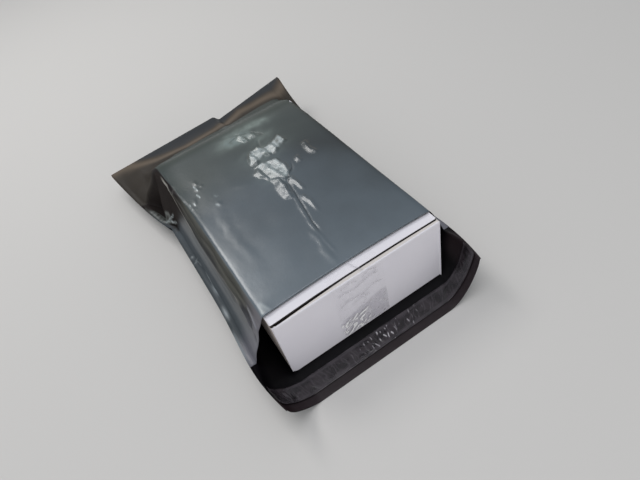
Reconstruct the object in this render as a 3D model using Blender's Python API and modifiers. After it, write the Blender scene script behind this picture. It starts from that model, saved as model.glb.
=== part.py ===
"""Polythene mailer, grey outside and black inside, with a white carton slid into it.

The mailer is one web of film: a front panel, a back panel that runs on past the mouth as the
closing flap, side welds and a bottom weld. A carton holds it open, so the film lies flat over the
carton, leans out to the side welds, and closes to a flat weld with two pointed corners behind it.

Metres, +Z up. The origin is on the underside of the film, below the middle of the carton.
The mouth and the flap face -Y.
"""

import math

import bmesh
import bpy
import numpy as np

# Carton
CARTON_WIDTH = 0.160
CARTON_LENGTH = 0.252
CARTON_HEIGHT = 0.073
CARTON_EDGE_RADIUS = 0.0012
BOARD_GAP_WIDTH = 0.0012
BOARD_GAP_DEPTH = 0.006
END_WALL_THICKNESS = 0.0036
END_WALL_STEP = 0.0006
LID_MARGIN = 0.0025

# Clear tape over the carton's end
TAPE_WIDTH = 0.048
TAPE_OFFSET = -0.003
TAPE_THICKNESS = 0.0002
TAPE_ON_LID = 0.040
TAPE_BOTTOM_MARGIN = 0.004

# Film
FILM_THICKNESS = 0.0005
WELD_WIDTH = 0.006
CONTACT_GAP = 0.0003

# Side welds, measured out from the carton's sides and up from the floor
LEFT_WELD_OUTSET = 0.0245
RIGHT_WELD_OUTSET = 0.0240
LEFT_WELD_HEIGHT = 0.026
RIGHT_WELD_HEIGHT = 0.028

# Mouth, where the welds end and change their place over a short length
MOUTH_SETBACK = 0.0138
LEFT_MOUTH_OUTSET = 0.0280
RIGHT_MOUTH_OUTSET = 0.0216
LEFT_MOUTH_HEIGHT = 0.026
RIGHT_MOUTH_HEIGHT = 0.0395
MOUTH_SPREAD = 0.045

# Flap, a shallow trough whose corners stand up
FLAP_LENGTH = 0.0475
FLAP_HEM = 0.001
LEFT_FLAP_EASE = 0.007
RIGHT_FLAP_EASE = 0.019
LEFT_CORNER_OUTSET = 0.0214
RIGHT_CORNER_OUTSET = 0.0168
LEFT_CORNER_HEIGHT = 0.0384
RIGHT_CORNER_HEIGHT = 0.0400
LEFT_CORNER_ADVANCE = 0.0086
RIGHT_CORNER_ADVANCE = -0.0035
CURL_ONSET = 0.5
CURL_START = 1.4
CURL_END = 0.7

# Closed end
END_REACH = 0.106
LEFT_FLARE_LENGTH = 0.036
RIGHT_FLARE_LENGTH = 0.006
LEFT_FLARE_POWER = 0.68
RIGHT_FLARE_POWER = 1.5
LEFT_EAR_OUTSET = 0.053
RIGHT_EAR_OUTSET = 0.033
LEFT_EAR_HEIGHT = 0.028
RIGHT_EAR_HEIGHT = 0.044
EAR_RISE_POWER = 2.0
CORNER_SPREAD = 0.010
END_SAG = 1.35
LEFT_SEAL_SAG = 0.003
RIGHT_SEAL_SAG = 0.0105
BUCKLE_X = 0.016
BUCKLE_WIDTH = 0.009

# Long folds in the film beside the carton, as shares of the way from its edge to the weld
LEFT_FOLD_HEIGHT = 0.0030
RIGHT_FOLD_HEIGHT = 0.0015
FOLD_PLACES = (0.34, 0.80)
FOLD_SPREAD = 0.11
CORNER_DENT_DEPTH = 0.011
CORNER_DENT_LENGTH = 0.020

# Glue strip and its release liner on the flap
GLUE_WIDTH = 0.012
GLUE_THICKNESS = 0.0003
LINER_WIDTH = 0.017
LINER_THICKNESS = 0.0002
LINER_EDGE_MARGIN = 0.008

# Mesh density
FLAP_ROWS = 8
MOUTH_ROWS = 2
POCKET_ROWS = 11
END_ROWS = 10
SIDE_COLUMNS = 10
TOP_COLUMNS = 14
STRIP_ROWS = 3

# Cosine of half the sharpest bend whose mitre is full
LEAST_MITRE = 0.5

# Edges sharper than this many degrees stay sharp
SHARP_ANGLE = 40

HALF_WIDTH = CARTON_WIDTH / 2
FRONT_Y = -CARTON_LENGTH / 2
BACK_Y = CARTON_LENGTH / 2
MOUTH_Y = FRONT_Y + MOUTH_SETBACK
CARTON_BASE = FILM_THICKNESS + CONTACT_GAP
CARTON_TOP = CARTON_BASE + CARTON_HEIGHT
TAPE_BASE = CARTON_TOP + CONTACT_GAP
FILM_CEILING = TAPE_BASE + TAPE_THICKNESS + CONTACT_GAP

# Colours, each with its roughness
FILM_GREY = (0.135, 0.155, 0.170), 0.32
FILM_BLACK = (0.010, 0.010, 0.012), 0.38
BOARD_WHITE = (0.780, 0.780, 0.800), 0.65
TAPE_CLEAR = (0.700, 0.700, 0.740), 0.15
GLUE_GREY = (0.060, 0.058, 0.066), 0.35
LINER_GREY = (0.110, 0.108, 0.120), 0.20


def clear_scene():
    """Remove the objects of the startup scene."""
    for obj in list(bpy.data.objects):
        bpy.data.objects.remove(obj)


def make_material(name, finish, metallic=0.0):
    """Make a plain material in one colour."""
    colour, roughness = finish
    material = bpy.data.materials.new(name)
    material.use_nodes = True
    shader = material.node_tree.nodes["Principled BSDF"]
    shader.inputs["Base Color"].default_value = (*colour, 1.0)
    shader.inputs["Roughness"].default_value = roughness
    shader.inputs["Metallic"].default_value = metallic
    return material


def make_collection(name):
    """Make a collection in the scene."""
    collection = bpy.data.collections.new(name)
    bpy.context.scene.collection.children.link(collection)
    return collection


def make_object(name, mesh, collection, *materials):
    """Put a mesh into the scene as one named object."""
    obj = bpy.data.objects.new(name, mesh)
    for material in materials:
        mesh.materials.append(material)
    collection.objects.link(obj)
    return obj


def smooth(mesh):
    """Shade a mesh smooth, apart from its sharp edges."""
    mesh.shade_smooth()
    mesh.set_sharp_from_angle(angle=math.radians(SHARP_ANGLE))


def smooth_step(x):
    """Rise from 0 to 1 as x goes from 0 to 1, level at both ends."""
    x = np.clip(x, 0.0, 1.0)
    return x * x * (3 - 2 * x)


def hump(x, centre, spread):
    """A rounded ridge 1 high at the centre."""
    return np.exp(-(((x - centre) / spread) ** 2))


def by_side(x, left, right):
    """A value on the carton's left, another on its right, and an even change across the carton."""
    share = np.clip(0.5 + x / CARTON_WIDTH, 0.0, 1.0)
    return left + (right - left) * share


def offset(points, distance):
    """Move a grid of points square to its lines across, and mitre it where they bend."""
    step = np.diff(points[..., [0, 2]], axis=1)
    step = step / np.linalg.norm(step, axis=2, keepdims=True)
    before = np.concatenate([step[:, :1], step], axis=1)
    after = np.concatenate([step, step[:, -1:]], axis=1)
    along = before + after
    along = along / np.linalg.norm(along, axis=2, keepdims=True)
    mitre = distance / np.maximum(np.sum(along * after, axis=2), LEAST_MITRE)
    moved = points.copy()
    moved[..., 0] -= along[..., 1] * mitre
    moved[..., 2] += along[..., 0] * mitre
    return moved


class FilmGrid:
    """The stations of the film: rows from the flap's end to the bottom weld, and columns across.

    flap is 1 at the flap's end and 0 from the mouth on. end is 0 up to the carton's back and 1 at
    the bottom weld. lean is 0 over the carton and 1 at the side weld, and edge is 1 at its cut.
    side is -1 left of the carton, 1 right of it, and between these over it.
    """

    def __init__(self):
        front = MOUTH_SETBACK / FLAP_LENGTH
        before = np.linspace(1, front, FLAP_ROWS - MOUTH_ROWS + 1)
        flap = np.concatenate([before, np.linspace(front, 0, MOUTH_ROWS + 1)[1:]])
        pocket = np.linspace(0, 1, POCKET_ROWS + 1)[1:]
        end = np.linspace(0, 1, END_ROWS + 1)[1:]
        self.mouth_row = FLAP_ROWS
        self.flap = self.stack_rows(flap, 0 * pocket, 0 * end, [0])
        self.pocket = self.stack_rows(0 * flap, pocket, 0 * end + 1, [1])
        self.end = self.stack_rows(0 * flap, 0 * pocket, end, [1])
        self.cut = self.stack_rows(0 * flap, 0 * pocket, 0 * end, [1])

        lean = np.linspace(1, 0, SIDE_COLUMNS + 1)
        over = np.linspace(-1, 1, TOP_COLUMNS + 1)[1:-1]
        self.lean = np.concatenate([[1], lean, 0 * over, lean[::-1], [1]])[None, :]
        self.side = np.concatenate([[-1], 0 * lean - 1, over, 0 * lean + 1, [1]])[None, :]
        self.edge = np.concatenate([[1], 0 * lean, 0 * over, 0 * lean, [1]])[None, :]
        self.place()

    @staticmethod
    def stack_rows(*parts):
        """Join values for the rows into one column."""
        return np.concatenate(parts)[:, None]

    def choose(self, left, right):
        """A value for the columns on the left and another for those on the right."""
        return np.where(self.side < 0, left, right)

    def flare(self):
        """From 0 along the carton to 1 at the closed end's corners."""
        length = self.choose(LEFT_FLARE_LENGTH, RIGHT_FLARE_LENGTH)
        power = self.choose(LEFT_FLARE_POWER, RIGHT_FLARE_POWER)
        past = self.end * END_REACH - (1 - self.pocket) * (BACK_Y - MOUTH_Y)
        return np.clip((past + length) / (END_REACH + length), 0.0, 1.0) ** power

    def near_mouth(self):
        """1 at the mouth and on the flap, falling away along the pocket."""
        return hump(self.pocket * (BACK_Y - MOUTH_Y), 0.0, MOUTH_SPREAD) * (1 - self.end)

    def place(self):
        """Work out x and y of every station."""
        weld = self.choose(LEFT_WELD_OUTSET, RIGHT_WELD_OUTSET)
        mouth = self.choose(LEFT_MOUTH_OUTSET, RIGHT_MOUTH_OUTSET)
        corner = self.choose(LEFT_CORNER_OUTSET, RIGHT_CORNER_OUTSET)
        ear = self.choose(LEFT_EAR_OUTSET, RIGHT_EAR_OUTSET)
        outset = weld + (mouth - weld) * self.near_mouth()
        outset = outset + (ear - weld) * self.flare() + (corner - mouth) * self.flap**2

        front = MOUTH_SETBACK / FLAP_LENGTH
        ease = self.choose(LEFT_FLAP_EASE, RIGHT_FLAP_EASE)
        ease = ease * smooth_step((self.flap - front) / (1 - front))
        start = HALF_WIDTH + self.end * CORNER_SPREAD - ease
        band = WELD_WIDTH + (FLAP_HEM - WELD_WIDTH) * smooth_step(self.flap / CURL_ONSET)
        beside = start + self.lean * (HALF_WIDTH + outset - band - start) + self.edge * band
        self.x = np.where(self.lean > 0, np.sign(self.side) * beside, self.side * start)

        advance = self.choose(LEFT_CORNER_ADVANCE, RIGHT_CORNER_ADVANCE)
        self.y = (
            MOUTH_Y
            - self.flap * FLAP_LENGTH
            - self.flap * self.lean**2 * advance
            + self.pocket * (BACK_Y - MOUTH_Y)
            + self.end * (END_REACH - WELD_WIDTH)
            + self.cut * WELD_WIDTH
        )

    def weld_height(self):
        """Height of the weld that each station leans or closes towards."""
        weld = by_side(self.x, LEFT_WELD_HEIGHT, RIGHT_WELD_HEIGHT)
        mouth = by_side(self.x, LEFT_MOUTH_HEIGHT, RIGHT_MOUTH_HEIGHT)
        corner = by_side(self.x, LEFT_CORNER_HEIGHT, RIGHT_CORNER_HEIGHT)
        along = weld + (mouth - weld) * self.near_mouth() + (corner - mouth) * self.flap
        return along + (self.seal_height() - along) * self.end**EAR_RISE_POWER

    def seal_height(self):
        """Height of the bottom weld: it sags from both ears and steps down at its buckle."""
        left = HALF_WIDTH + LEFT_EAR_OUTSET
        right = HALF_WIDTH + RIGHT_EAR_OUTSET
        share = (self.x + left) / (left + right)
        straight = LEFT_EAR_HEIGHT + (RIGHT_EAR_HEIGHT - LEFT_EAR_HEIGHT) * share
        past = smooth_step((self.x - BUCKLE_X) / BUCKLE_WIDTH + 0.5)
        left_sag = LEFT_SEAL_SAG * (self.x + left) / (BUCKLE_X + left)
        right_sag = RIGHT_SEAL_SAG * (right - self.x) / (right - BUCKLE_X)
        return straight - left_sag * (1 - past) - right_sag * past

    def folds(self):
        """Long ridges in the film beside the carton, level at the weld and at the carton's edge."""
        ridge = sum(hump(self.lean, place, FOLD_SPREAD) for place in FOLD_PLACES)
        height = self.choose(LEFT_FOLD_HEIGHT, RIGHT_FOLD_HEIGHT)
        return height * ridge * np.sin(math.pi * self.lean) * (1 - self.end)

    def dent(self):
        """The hollow where the film turns from the carton's side to the pointed corner."""
        away = hump(self.y, BACK_Y, CORNER_DENT_LENGTH)
        return CORNER_DENT_DEPTH * away * np.sin(math.pi * np.sqrt(self.lean))

    def surfaces(self):
        """Points of the film's four faces: outer and inner top, inner and outer bottom."""
        weld = self.weld_height()
        open_share = (1 - self.end) ** END_SAG
        curl = 1 - (1 - self.lean**CURL_START) ** CURL_END
        lean_below = self.lean + (curl - self.lean) * smooth_step(self.flap / CURL_ONSET)
        top = weld + (FILM_CEILING - weld) * (1 - self.lean) * open_share
        top = top + self.folds() - self.dent()
        bottom = weld + (FILM_THICKNESS - weld) * (1 - lean_below) * open_share
        closed = (self.lean >= 1) | (self.end >= 1)
        top = np.where(closed, weld, np.maximum(top, bottom + FILM_THICKNESS))
        inner_top = np.stack([self.x, self.y, top], axis=2)
        inner_bottom = np.stack([self.x, self.y, bottom], axis=2)
        outer_top = offset(inner_top, FILM_THICKNESS)
        outer_bottom = offset(inner_bottom, -FILM_THICKNESS)
        return outer_top, inner_top, inner_bottom, outer_bottom

    def flap_line(self, inset):
        """Points along the flap's upper face between its edges, at a distance in from its end."""
        points = self.surfaces()[2][:, 1:-1]
        share = 1 - inset / FLAP_LENGTH
        row = int(np.argmax(self.flap[1:, 0] <= share))
        part = (self.flap[row, 0] - share) / (self.flap[row, 0] - self.flap[row + 1, 0])
        return (1 - part) * points[row] + part * points[row + 1]


def grid_faces(index, flip=False):
    """Quads over a grid of vertex numbers, facing up, or down when flipped."""
    a, b = index[:-1, :-1], index[:-1, 1:]
    c, d = index[1:, 1:], index[1:, :-1]
    corners = (a, d, c, b) if flip else (a, b, c, d)
    return np.stack([c.ravel() for c in corners], axis=1).tolist()


def strip_faces(lower, upper):
    """Quads between two rows of vertex numbers of the same length."""
    return [
        [int(lower[i]), int(lower[i + 1]), int(upper[i + 1]), int(upper[i])]
        for i in range(len(lower) - 1)
    ]


def build_bag(grid, collection, grey, black):
    """Loft the film as one closed solid: the outer faces, the pocket inside and the flap."""
    surfaces = grid.surfaces()
    rows, columns = grid.x.shape
    count = rows * columns
    outer_top, inner_top, inner_bottom, outer_bottom = (
        np.arange(count).reshape(rows, columns) + k * count for k in range(4)
    )
    mouth = grid.mouth_row
    inside = slice(1, columns - 1)
    # The pocket's two faces share their vertices along the welds.
    inner_top[mouth:, 1] = inner_bottom[mouth:, 1]
    inner_top[mouth:, -2] = inner_bottom[mouth:, -2]
    inner_top[-2, inside] = inner_bottom[-2, inside]

    faces = grid_faces(outer_top[mouth:])
    faces += grid_faces(outer_bottom, flip=True)
    outside = len(faces)
    faces += grid_faces(inner_top[mouth:-1, inside], flip=True)
    faces += grid_faces(inner_bottom[mouth:-1, inside])
    faces += grid_faces(inner_bottom[: mouth + 1])
    lining = len(faces)
    # Cut edges: the mouth, the bottom weld, the side welds and the flap.
    faces += strip_faces(inner_top[mouth, inside], outer_top[mouth, inside])
    faces += strip_faces(inner_bottom[mouth, :2], outer_top[mouth, :2])
    faces += strip_faces(inner_bottom[mouth, -2:], outer_top[mouth, -2:])
    faces += strip_faces(outer_top[-1], outer_bottom[-1])
    faces += strip_faces(outer_bottom[0], inner_bottom[0])
    faces += strip_faces(inner_bottom[: mouth + 1, 0], outer_bottom[: mouth + 1, 0])
    faces += strip_faces(outer_bottom[: mouth + 1, -1], inner_bottom[: mouth + 1, -1])
    faces += edge_faces(outer_top[mouth:, 0], outer_bottom[mouth:, 0], inner_bottom[mouth, 0])
    faces += edge_faces(outer_bottom[mouth:, -1], outer_top[mouth:, -1], inner_bottom[mouth, -1])

    mesh = bpy.data.meshes.new("mailer_bag")
    mesh.from_pydata(np.concatenate(surfaces).reshape(-1, 3).tolist(), [], faces)
    is_lining = np.zeros(len(faces), dtype=np.int32)
    is_lining[outside:lining] = 1
    mesh.polygons.foreach_set("material_index", is_lining)
    finish_loft(mesh)
    smooth(mesh)
    return make_object("mailer_bag", mesh, collection, grey, black)


def edge_faces(upper, lower, middle):
    """The cut edge of a side weld. Its first face also takes the flap's corner, halfway up it."""
    first, *rest = strip_faces(upper, lower)
    return [[*first, int(middle)], *rest]


def finish_loft(mesh):
    """Drop unused vertices and turn the faces outwards."""
    shape = bmesh.new()
    shape.from_mesh(mesh)
    loose = [v for v in shape.verts if not v.link_faces]
    bmesh.ops.delete(shape, geom=loose, context="VERTS")
    bmesh.ops.recalc_face_normals(shape, faces=shape.faces)
    shape.to_mesh(mesh)
    shape.free()


def flap_strip(name, grid, width, lift, thickness, collection, material):
    """A strip that follows the flap's trough at a height above the film, given a thickness."""
    middle = LINER_EDGE_MARGIN + LINER_WIDTH / 2
    insets = np.linspace(middle - width / 2, middle + width / 2, STRIP_ROWS + 1)
    points = offset(np.stack([grid.flap_line(inset) for inset in insets]), lift)
    index = np.arange(points.size // 3).reshape(points.shape[:2])
    mesh = bpy.data.meshes.new(name)
    mesh.from_pydata(points.reshape(-1, 3).tolist(), [], grid_faces(index))
    obj = make_object(name, mesh, collection, material)
    wall = obj.modifiers.new("thickness", "SOLIDIFY")
    wall.thickness = thickness
    wall.offset = 1.0
    wall.use_even_offset = True
    smooth(mesh)
    return obj


def add_box(name, low, high, collection):
    """A cube primitive stretched between two corners, with its scale applied."""
    bpy.ops.mesh.primitive_cube_add(size=1)
    obj = bpy.context.object
    obj.name = name
    obj.data.name = name
    low, high = np.array(low), np.array(high)
    obj.location = (low + high) / 2
    for vertex in obj.data.vertices:
        vertex.co = np.array(vertex.co) * (high - low)
    for owner in list(obj.users_collection):
        owner.objects.unlink(obj)
    collection.objects.link(obj)
    return obj


def cut(obj, cutter):
    """Cut one object with another."""
    modifier = obj.modifiers.new(cutter.name, "BOOLEAN")
    modifier.operation = "DIFFERENCE"
    modifier.object = cutter
    cutter.hide_render = True
    cutter.display_type = "WIRE"


def build_carton(collection, cutters, board):
    """A folded carton: its lid panel stops short of the end wall and leaves a dark gap."""
    low = (-HALF_WIDTH, FRONT_Y, CARTON_BASE)
    high = (HALF_WIDTH, BACK_Y, CARTON_TOP)
    carton = add_box("carton", low, high, collection)
    carton.data.materials.append(board)
    rounding = carton.modifiers.new("rounded_edges", "BEVEL")
    rounding.width = CARTON_EDGE_RADIUS
    rounding.segments = 2
    gap_y = FRONT_Y + END_WALL_THICKNESS
    gap = add_box(
        "lid_gap_cutter",
        (-HALF_WIDTH + LID_MARGIN, gap_y, CARTON_TOP - BOARD_GAP_DEPTH),
        (HALF_WIDTH + LID_MARGIN, gap_y + BOARD_GAP_WIDTH, CARTON_TOP + BOARD_GAP_DEPTH),
        cutters,
    )
    step = add_box(
        "end_wall_step_cutter",
        (-HALF_WIDTH + LID_MARGIN, FRONT_Y - LID_MARGIN, CARTON_TOP - END_WALL_STEP),
        (HALF_WIDTH + LID_MARGIN, gap_y + BOARD_GAP_WIDTH / 2, CARTON_TOP + END_WALL_STEP),
        cutters,
    )
    cut(carton, gap)
    cut(carton, step)
    return carton


def build_tape(collection, clear):
    """Clear tape bent over the carton's top edge: down its end and back over its lid."""
    left = TAPE_OFFSET - TAPE_WIDTH / 2
    right = TAPE_OFFSET + TAPE_WIDTH / 2
    face = FRONT_Y - CONTACT_GAP - TAPE_THICKNESS
    profile = [
        (face, CARTON_BASE + TAPE_BOTTOM_MARGIN),
        (face, TAPE_BASE + TAPE_THICKNESS),
        (FRONT_Y + TAPE_ON_LID, TAPE_BASE + TAPE_THICKNESS),
    ]
    points = [(x, y, z) for y, z in profile for x in (left, right)]
    mesh = bpy.data.meshes.new("carton_tape")
    mesh.from_pydata(points, [], [(0, 1, 3, 2), (2, 3, 5, 4)])
    tape = make_object("carton_tape", mesh, collection, clear)
    wall = tape.modifiers.new("thickness", "SOLIDIFY")
    wall.thickness = TAPE_THICKNESS
    wall.offset = -1.0
    wall.use_even_offset = True
    return tape


def main():
    """Build the mailer, its glue strip and liner, and the carton with its tape."""
    clear_scene()
    parts = make_collection("packed_mailer")
    cutters = make_collection("cutters")
    grey = make_material("grey_polythene", FILM_GREY)
    black = make_material("black_polythene", FILM_BLACK)
    board = make_material("white_board", BOARD_WHITE)
    clear = make_material("clear_tape", TAPE_CLEAR)
    glue = make_material("hot_melt_glue", GLUE_GREY)
    liner = make_material("release_liner", LINER_GREY)

    film = FilmGrid()
    build_bag(film, parts, grey, black)
    flap_strip("glue_strip", film, GLUE_WIDTH, CONTACT_GAP, GLUE_THICKNESS, parts, glue)
    liner_lift = 2 * CONTACT_GAP + GLUE_THICKNESS
    flap_strip("release_liner", film, LINER_WIDTH, liner_lift, LINER_THICKNESS, parts, liner)
    build_carton(parts, cutters, board)
    build_tape(parts, clear)


main()
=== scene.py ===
"""Looks of a grey mailing bag, black inside, with a white carton slid into it.

The film is one web: an upper sheet that lies over the carton, leans out to the side welds and closes
behind it, and a lower sheet that runs on past the mouth as the flap. Both are worked out as grids
from the sizes of the part, with the creases of thin film laid over them. The carton, its tape, the
glue strip and its release liner are pieces of their own.

Metres, +Z up, with creases given in millimetres on the unrolled film. The mouth faces -Y.
"""

from __future__ import annotations

import logging
import math
from dataclasses import dataclass, field
from enum import Enum

import bmesh
import bpy
import numpy as np
from mathutils import Matrix, Vector

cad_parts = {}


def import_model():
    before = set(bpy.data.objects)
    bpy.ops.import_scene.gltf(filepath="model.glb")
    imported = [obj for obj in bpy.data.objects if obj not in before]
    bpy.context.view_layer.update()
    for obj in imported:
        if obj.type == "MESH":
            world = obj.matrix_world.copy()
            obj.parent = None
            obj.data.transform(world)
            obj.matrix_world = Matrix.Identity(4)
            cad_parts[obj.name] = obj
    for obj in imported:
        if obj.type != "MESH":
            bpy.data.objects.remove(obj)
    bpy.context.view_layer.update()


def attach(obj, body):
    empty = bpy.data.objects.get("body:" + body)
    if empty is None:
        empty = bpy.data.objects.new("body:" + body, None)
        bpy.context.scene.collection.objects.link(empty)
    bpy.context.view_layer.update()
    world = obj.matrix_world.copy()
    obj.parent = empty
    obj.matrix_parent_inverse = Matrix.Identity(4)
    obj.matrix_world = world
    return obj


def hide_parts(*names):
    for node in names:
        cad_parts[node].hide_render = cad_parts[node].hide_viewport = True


LOG = logging.getLogger("mailer")
MM = 0.001
BODY = "root"

# Half the carton's width in mm, and so where the film beside it starts on the unrolled sheet
EDGE_MM = 80

Array = np.ndarray
Point = tuple[float, float]
Pair = tuple[float, float]
Point3 = tuple[float, float, float]
Finishes = list[bpy.types.Material]


class Side(Enum):
    """Which way a face of film looks."""

    OUTER = 0
    INNER = 1


# Small helpers for numbers


def linear(hex_colour: str) -> tuple[float, float, float, float]:
    """Turn an sRGB hex colour into linear light, by the sRGB curve on each channel.

    Args:
        hex_colour: six hex digits.

    Returns:
        Red, green, blue and an alpha of 1.
    """
    values = []
    for start in (0, 2, 4):
        share = int(hex_colour[start : start + 2], 16) / 255
        values.append(share / 12.92 if share <= 0.04045 else ((share + 0.055) / 1.055) ** 2.4)
    return values[0], values[1], values[2], 1.0


def smooth_step(x: Array | float) -> Array:
    """Rise from 0 to 1 as x goes from 0 to 1: 3x^2 - 2x^3."""
    x = np.clip(x, 0.0, 1.0)
    return x * x * (3 - 2 * x)


def hump(x: Array, centre: float, spread: float) -> Array:
    """A rounded ridge 1 high at the centre: exp(-((x - centre) / spread)^2)."""
    return np.exp(-(((x - centre) / spread) ** 2))


def graded(*spans: tuple[float, float, float]) -> Array:
    """Stations along a line whose spacing changes from span to span.

    Args:
        spans: start, stop and spacing of each stretch, one after the other.

    Returns:
        All stations, each shared end once.
    """
    parts = []
    for start, stop, step in spans:
        count = max(1, round(abs(stop - start) / step))
        parts.append(np.linspace(start, stop, count + 1)[1 if parts else 0 :])
    return np.concatenate(parts)


def ripples(x: Array, y: Array, wavelengths: Pair, count: int, seed: int) -> Array:
    """Even, unruly waves: a sum of plane waves of random direction, length and phase.

    Args:
        x: first coordinate in mm.
        y: second coordinate in mm.
        wavelengths: shortest and longest wave in mm.
        count: how many waves are added.
        seed: start of the random draws.

    Returns:
        A height of about 1 at most.
    """
    draw = np.random.default_rng(seed)
    total = np.zeros(np.broadcast(x, y).shape)
    for _ in range(count):
        length = draw.uniform(*wavelengths)
        turn = draw.uniform(0, math.pi)
        phase = draw.uniform(0, 2 * math.pi)
        along = (x * math.cos(turn) + y * math.sin(turn)) / length
        total += np.sin(2 * math.pi * along + phase) * length / wavelengths[1]
    return total / math.sqrt(count)


def crinkles(x: Array, y: Array, wavelengths: Pair, seed: int, width: float) -> Array:
    """Thin, forking lines like the creases of stiff film: where the ripples pass through nothing."""
    return 1 - smooth_step(np.abs(ripples(x, y, wavelengths, 14, seed)) / width)


def soften(values: Array, passes: int) -> Array:
    """Blur a grid of values with its neighbours, weighed 1, 2 and 1 along both directions."""
    for _ in range(passes):
        wide = np.pad(values, 1, mode="edge")
        values = (wide[:-2, 1:-1] + 2 * wide[1:-1, 1:-1] + wide[2:, 1:-1]) / 4
        wide = np.pad(values, 1, mode="edge")
        values = (wide[1:-1, :-2] + 2 * wide[1:-1, 1:-1] + wide[1:-1, 2:]) / 4
    return values


def blend_tone(below: Array, shade: str, share: Array, gloss: float = 1.0) -> Array:
    """Lay a shade over an array of tones by a share from 0 to 1; the fourth channel is the gloss."""
    over = np.array((*linear(shade)[:3], gloss))
    return below + (over - below) * np.clip(share, 0.0, 1.0)[..., None]


# Small helpers for meshes


def grid_quads(index: Array, flip: bool = False) -> Array:
    """Quads over a grid of vertex numbers, facing up, or down when flipped."""
    a, b = index[:-1, :-1], index[:-1, 1:]
    c, d = index[1:, 1:], index[1:, :-1]
    corners = (a, d, c, b) if flip else (a, b, c, d)
    return np.stack([corner.ravel() for corner in corners], axis=1)


def rim_quads(upper: Array, lower: Array) -> Array:
    """Quads that join the edge of an upper grid to the same edge of a lower one, all the way round."""
    top = np.concatenate([upper[0, :], upper[1:, -1], upper[-1, -2::-1], upper[-2:0:-1, 0]])
    bottom = np.concatenate([lower[0, :], lower[1:, -1], lower[-1, -2::-1], lower[-2:0:-1, 0]])
    return np.stack([np.roll(top, -1), top, bottom, np.roll(bottom, -1)], axis=1)


def make_piece(
    name: str, points: Array, quads: Array, finishes: Finishes, which: Array | None = None
) -> bpy.types.Object:
    """Put vertices and quads into a mesh, shade it smooth and stand it at the origin.

    Args:
        name: name of the piece.
        points: one row of x, y and z for each vertex.
        quads: one row of four vertex numbers for each face.
        finishes: materials of the piece.
        which: number of the material for each face, or None for the first.

    Returns:
        The new object.
    """
    mesh = bpy.data.meshes.new(name)
    count = len(quads)
    mesh.vertices.add(len(points))
    mesh.vertices.foreach_set("co", np.asarray(points, np.float32).ravel())
    mesh.loops.add(4 * count)
    mesh.loops.foreach_set("vertex_index", np.asarray(quads, np.int32).ravel())
    mesh.polygons.add(count)
    mesh.polygons.foreach_set("loop_start", np.arange(0, 4 * count, 4, dtype=np.int32))
    for finish in finishes:
        mesh.materials.append(finish)
    if which is not None:
        mesh.polygons.foreach_set("material_index", np.asarray(which, np.int32))
    mesh.update(calc_edges=True)
    mesh.validate()
    mesh.shade_smooth()
    obj = bpy.data.objects.new(name, mesh)
    bpy.context.scene.collection.objects.link(obj)
    return obj


def add_tone(obj: bpy.types.Object, tone: Array) -> None:
    """Store a colour for each vertex, with its share of gloss as alpha.

    Args:
        obj: the piece.
        tone: red, green, blue and gloss of each vertex.
    """
    layer = obj.data.attributes.new("tone", "FLOAT_COLOR", "POINT")
    layer.data.foreach_set("color", tone.astype(np.float32).ravel())


def normals_of(points: Array) -> Array:
    """Upward unit normals of a grid of points: the cross product of its steps across and along."""
    across = np.gradient(points, axis=1)
    along = np.gradient(points, axis=0)
    normal = np.cross(across, along)
    return normal / np.maximum(np.linalg.norm(normal, axis=2, keepdims=True), 1e-12)


# Finishes


def add_node(
    tree: bpy.types.NodeTree,
    kind: str,
    links: dict[str | int, bpy.types.NodeSocket] | None = None,
    **settings: object,
) -> bpy.types.Node:
    """Add one node with its settings and links.

    Args:
        tree: the material's node tree.
        kind: type name of the node.
        links: output sockets to link, by the name or number of the input.
        settings: node properties, or input values where the name starts with in_.

    Returns:
        The new node.
    """
    node = tree.nodes.new(kind)
    for key, value in settings.items():
        if key.startswith("in_"):
            label = key[3:]
            socket = node.inputs[int(label)] if label.isdigit() else node.inputs[label.replace("_", " ")]
            socket.default_value = value
        else:
            setattr(node, key, value)
    for key, socket in (links or {}).items():
        tree.links.new(socket, node.inputs[key])
    return node


def new_material(name: str) -> tuple[bpy.types.Material, bpy.types.NodeTree, bpy.types.Node]:
    """Make a material with a Principled shader and give its tree and shader."""
    material = bpy.data.materials.new(name)
    material.use_nodes = True
    tree = material.node_tree
    shader = next(node for node in tree.nodes if node.type == "BSDF_PRINCIPLED")
    return material, tree, shader


def set_inputs(shader: bpy.types.Node, **values: object) -> None:
    """Set a shader's inputs by name, with underscores for spaces."""
    for key, value in values.items():
        shader.inputs[key.replace("_", " ")].default_value = value


def add_noise(tree: bpy.types.NodeTree, scale: float, detail: float = 2.0) -> bpy.types.NodeSocket:
    """Add clouds in the piece's own coordinates, scale of them to a metre, and give their value."""
    place = add_node(tree, "ShaderNodeTexCoord").outputs["Object"]
    noise = add_node(tree, "ShaderNodeTexNoise", {"Vector": place}, in_Scale=scale, in_Detail=detail)
    return noise.outputs["Fac"]


def add_bump(
    tree: bpy.types.NodeTree, shader: bpy.types.Node, size_mm: float, depth_mm: float
) -> bpy.types.NodeSocket:
    """Give a shader a fine relief of noise.

    Args:
        tree: the material's node tree.
        shader: the shader whose normal is bent.
        size_mm: size of the relief's bumps.
        depth_mm: their depth.

    Returns:
        The bent normal.
    """
    links = {"Height": add_noise(tree, 1 / (size_mm * MM))}
    bump = add_node(tree, "ShaderNodeBump", links, in_Strength=1.0, in_Distance=depth_mm * MM)
    tree.links.new(bump.outputs["Normal"], shader.inputs["Normal"])
    return bump.outputs["Normal"]


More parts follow.
